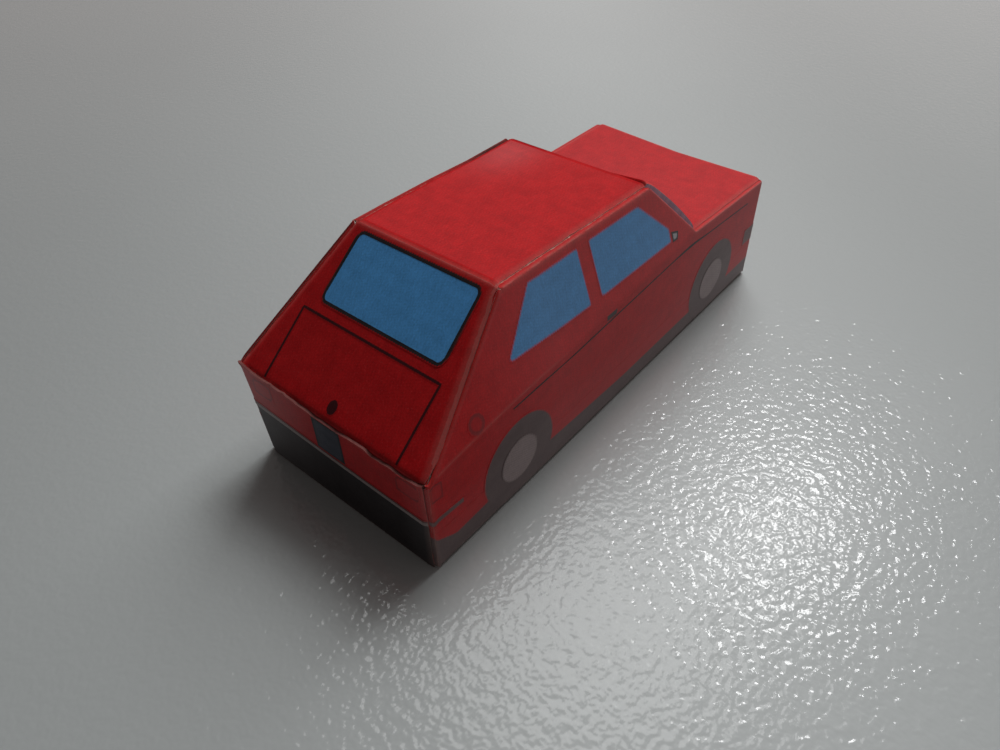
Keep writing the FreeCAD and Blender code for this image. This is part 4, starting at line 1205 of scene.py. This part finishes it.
tyre_print = printed("Tyre print", TYRE_INK, dots=0.05, mottle=0.5, soft=0.22)
filler_print = printed(
    "Filler ring print", ((0.24, 0.018, 0.02, 1), (0.2, 0.012, 0.014, 1)),
    heart=((0.38, 0.012, 0.014, 1), (0.3, 0.01, 0.012, 1), 0.36), mottle=0.5, soft=0.14,
)


def add_side_print(part, films, material):
    add_both_sides("print", part, films, [material] * 3)


for part, material, slot, step, spread in (
    ("windows", side_blue_print, "blue_print", 0.4, 0.0),
    ("mirror", mirror_print, "grey_print", 0.15, 0.0),
    ("door_handle", handle_print, "grey_print", 0.15, 0.0),
    ("waist_line", waist_print, "black_print", 0.07, 0.08),
    ("lamp_wrap", lamp_red_print, "dark_red_print", 0.25, 0.0),
):
    films = films_of(f"side_right_{part}", SIDE, step, 0, spread)
    add_side_print(part, films, material)

films = []
for outline in cad_outlines("side_right_bumper_wraps", SIDE):
    x = outline[:, 0]
    at_end = np.minimum(np.abs(x - SIDE_REAR), np.abs(x - SIDE_FRONT)) < 0.05
    over_end = np.where(x < 0, -OVER_END, OVER_END) * at_end
    outline = outline + together(over_end, 0 * x)
    films.append(film_inside(outline, SIDE, 0.08, 1))
add_side_print("bumper_wraps", films, wrap_print)
add_side_print("hubs", films_of("side_right_hubs", SIDE, 0.25, 3), hub_print)

SILL_X = [-25.0, -22.4, -18.0, -11.5, 0.0]
SILL_RISE = [1.6, 0.12, 0.3, 0.65, 0.0]
hub_low, hub_high = limits("side_right_hubs")
hub_z = (hub_low[2] + hub_high[2]) / 2
hub_xs = [(hub[:, 0].min() + hub[:, 0].max()) / 2 for hub in cad_outlines("side_right_hubs", SIDE)]
dark_low, dark_high = limits("side_right_tyres_and_sill")
arch_radius = dark_high[2] - hub_z
dark = cad_spots("side_right_tyres_and_sill")
at_rear = (dark[:, 0] < dark_low[0] + 0.01) & (np.abs(dark[:, 1] + SIDE_Y) < NEAR_FACE)
SILL_TOP = dark[at_rear, 2].max()


def dark_film(x, z, layer=0):
    """Black ink at places in side view. Its rim is how deep a place is inside the joined outline
    of the sill and the arches. The sill's black sweeps up to the tail's valance and is a little
    higher ahead of the rear wheel."""
    inside = np.clip(x, SIDE_REAR, SIDE_FRONT)
    rim = SILL_TOP + np.interp(inside, SILL_X, SILL_RISE) - z
    for hub_x in hub_xs:
        rim = np.maximum(rim, arch_radius - np.hypot(inside - hub_x, z - hub_z))
    return film(SIDE, together(x, z - crease_height(inside)), rim, layer)


over_end = np.linspace(-OVER_END, 0.3, 16)
between = stations(SIDE_REAR + 0.6, SIDE_FRONT - 0.6, 0.35)
columns_x = np.concatenate([SIDE_REAR + over_end, between, SIDE_FRONT - over_end[::-1]])[:, None]
z = np.concatenate([np.linspace(0, 0.5, 9)[:-1], np.linspace(0.5, SILL_TOP + 1.8, 15)])
films = [dark_film(*matched(columns_x, z))]
angles = np.linspace(0, 2 * math.pi, 97)[:-1]
for hub_x in hub_xs:
    arch_z = np.maximum(hub_z + arch_radius * np.sin(angles), 0.0)
    disc = together(hub_x + arch_radius * np.cos(angles), arch_z)
    films.append(dark_film(*np.moveaxis(filled(disc, 0.3), -1, 0), 1))
add_side_print("tyres_and_sill", films, tyre_print)
add_print("fuel_filler", films_of("fuel_filler", SIDE, 0.1), filler_print)


# Table
# A pale grey gloss board with a faint orange peel, broad enough to reach out of sight. Its colour
# is darkened to both sides of the bright patch: painted shade where the light falls off.

REACH = 1.5
board = bpy.data.meshes.new("pale_board")
ends = [(-REACH, -REACH, 0), (REACH, -REACH, 0), (REACH, REACH, 0), (-REACH, REACH, 0)]
board.from_pydata(ends, [], [(0, 1, 2, 3)])
table = bpy.data.objects.new("pale_board", board)
bpy.context.scene.collection.objects.link(table)
table.location.z = -0.02 * MM
board_paint, tree, shader = new_material("Gloss board")
spot = add_node(tree, "ShaderNodeNewGeometry").outputs["Position"]
clouds = noise_at(tree, spot, 18.0, 3.0)
colour = blend_colours(tree, clouds, (0.42, 0.45, 0.45, 1), (0.465, 0.495, 0.493, 1))
# Painted shade: the board's colour darkens towards a dark grey to the left and right of the lamps'
# patch, where their light falls off.
leftward = vector_work(tree, "DOT_PRODUCT", spot, (-0.66, 0.75, 0.0)).outputs["Value"]
painted_shade_left = times(tree, ramp(tree, leftward, -0.03, 0.07), 0.42)
painted_shade_right = times(tree, ramp(tree, leftward, -0.003, -0.06), 0.36)
colour = blend_colours(tree, plus(tree, painted_shade_left, painted_shade_right), colour, (0.1, 0.11, 0.11, 1))
tree.links.new(colour, shader.inputs["Base Color"])
shader.inputs["Roughness"].default_value = 0.3
shader.inputs["Coat Weight"].default_value = 1.0
shader.inputs["Coat Roughness"].default_value = 0.09
finer = times(tree, noise_at(tree, spot, 2900.0, 0.0), 0.25)
peel = plus(tree, noise_at(tree, spot, 1350.0, 1.0), finer)
add_bump(tree, shader, peel, 0.25, 0.085)
add_bump(tree, shader, peel, 1.0, 0.085, "Coat Normal")
board.materials.append(board_paint)


# Light
# A broad window high ahead of the nose, and above it a broad lamp and a small one, which glint on
# the table. The room is paler towards the window and around the horizon.

world = bpy.data.worlds.new("Room")
bpy.context.scene.world = world
world.use_nodes = True
room = world.node_tree.nodes["Background"]
room.inputs["Color"].default_value = (1.0, 0.88, 0.85, 1)
tree = world.node_tree
heading = add_node(tree, "ShaderNodeTexCoord").outputs["Generated"]
towards = vector_work(tree, "DOT_PRODUCT", heading, (0.9, -0.35, 0.0)).outputs["Value"]
bright = plus(tree, times(tree, ramp(tree, towards, -0.8, 0.9), 0.32), 0.19)
dimmed = minus(tree, 1.0, times(tree, ramp(tree, xyz(tree, heading)[2], 0.0, 0.7), 0.68))
tree.links.new(times(tree, bright, dimmed), room.inputs["Strength"])


def add_lamp(name, place, size, power, glossy):
    lamp = bpy.data.lights.new(name, "AREA")
    lamp.shape = "RECTANGLE"
    lamp.size, lamp.size_y = size
    lamp.energy = power
    holder = bpy.data.objects.new(name, lamp)
    bpy.context.scene.collection.objects.link(holder)
    holder.location = place
    holder.rotation_euler = (-Vector(place)).to_track_quat("-Z", "Y").to_euler()
    holder.visible_glossy = glossy


add_lamp("window_light", (0.31, 0.078, 0.318), (0.31, 0.31), 2.15, False)
add_lamp("ceiling_light", (0.39, 0.23, 0.84), (0.36, 0.28), 0.66, True)
add_lamp("glint_light", (0.65, 0.10, 0.80), (0.14, 0.1), 0.6, True)


# Camera
# The photograph's own view, from behind, to the right and above.

EYE = Vector((-46.59, -36.24, 50.41)) * MM
back = Vector((-0.5555, -0.4885, 0.6729))
level = Vector((0.6604, -0.7509, 0.0))
steep = Vector((0.5053, 0.4444, 0.7397))
roll = math.radians(-2.22)
rightward = level * math.cos(roll) + steep * math.sin(roll)
upward = steep * math.cos(roll) - level * math.sin(roll)
lens = bpy.data.cameras.new("camera")
lens.sensor_width = 36.0
lens.lens = 28.08
lens.clip_start = 0.001
camera = bpy.data.objects.new("camera", lens)
bpy.context.scene.collection.objects.link(camera)
camera.matrix_world = Matrix((
    (rightward.x, upward.x, back.x, EYE.x),
    (rightward.y, upward.y, back.y, EYE.y),
    (rightward.z, upward.z, back.z, EYE.z),
    (0, 0, 0, 1),
))
bpy.context.scene.camera = camera
bpy.context.scene.view_settings.view_transform = "Standard"
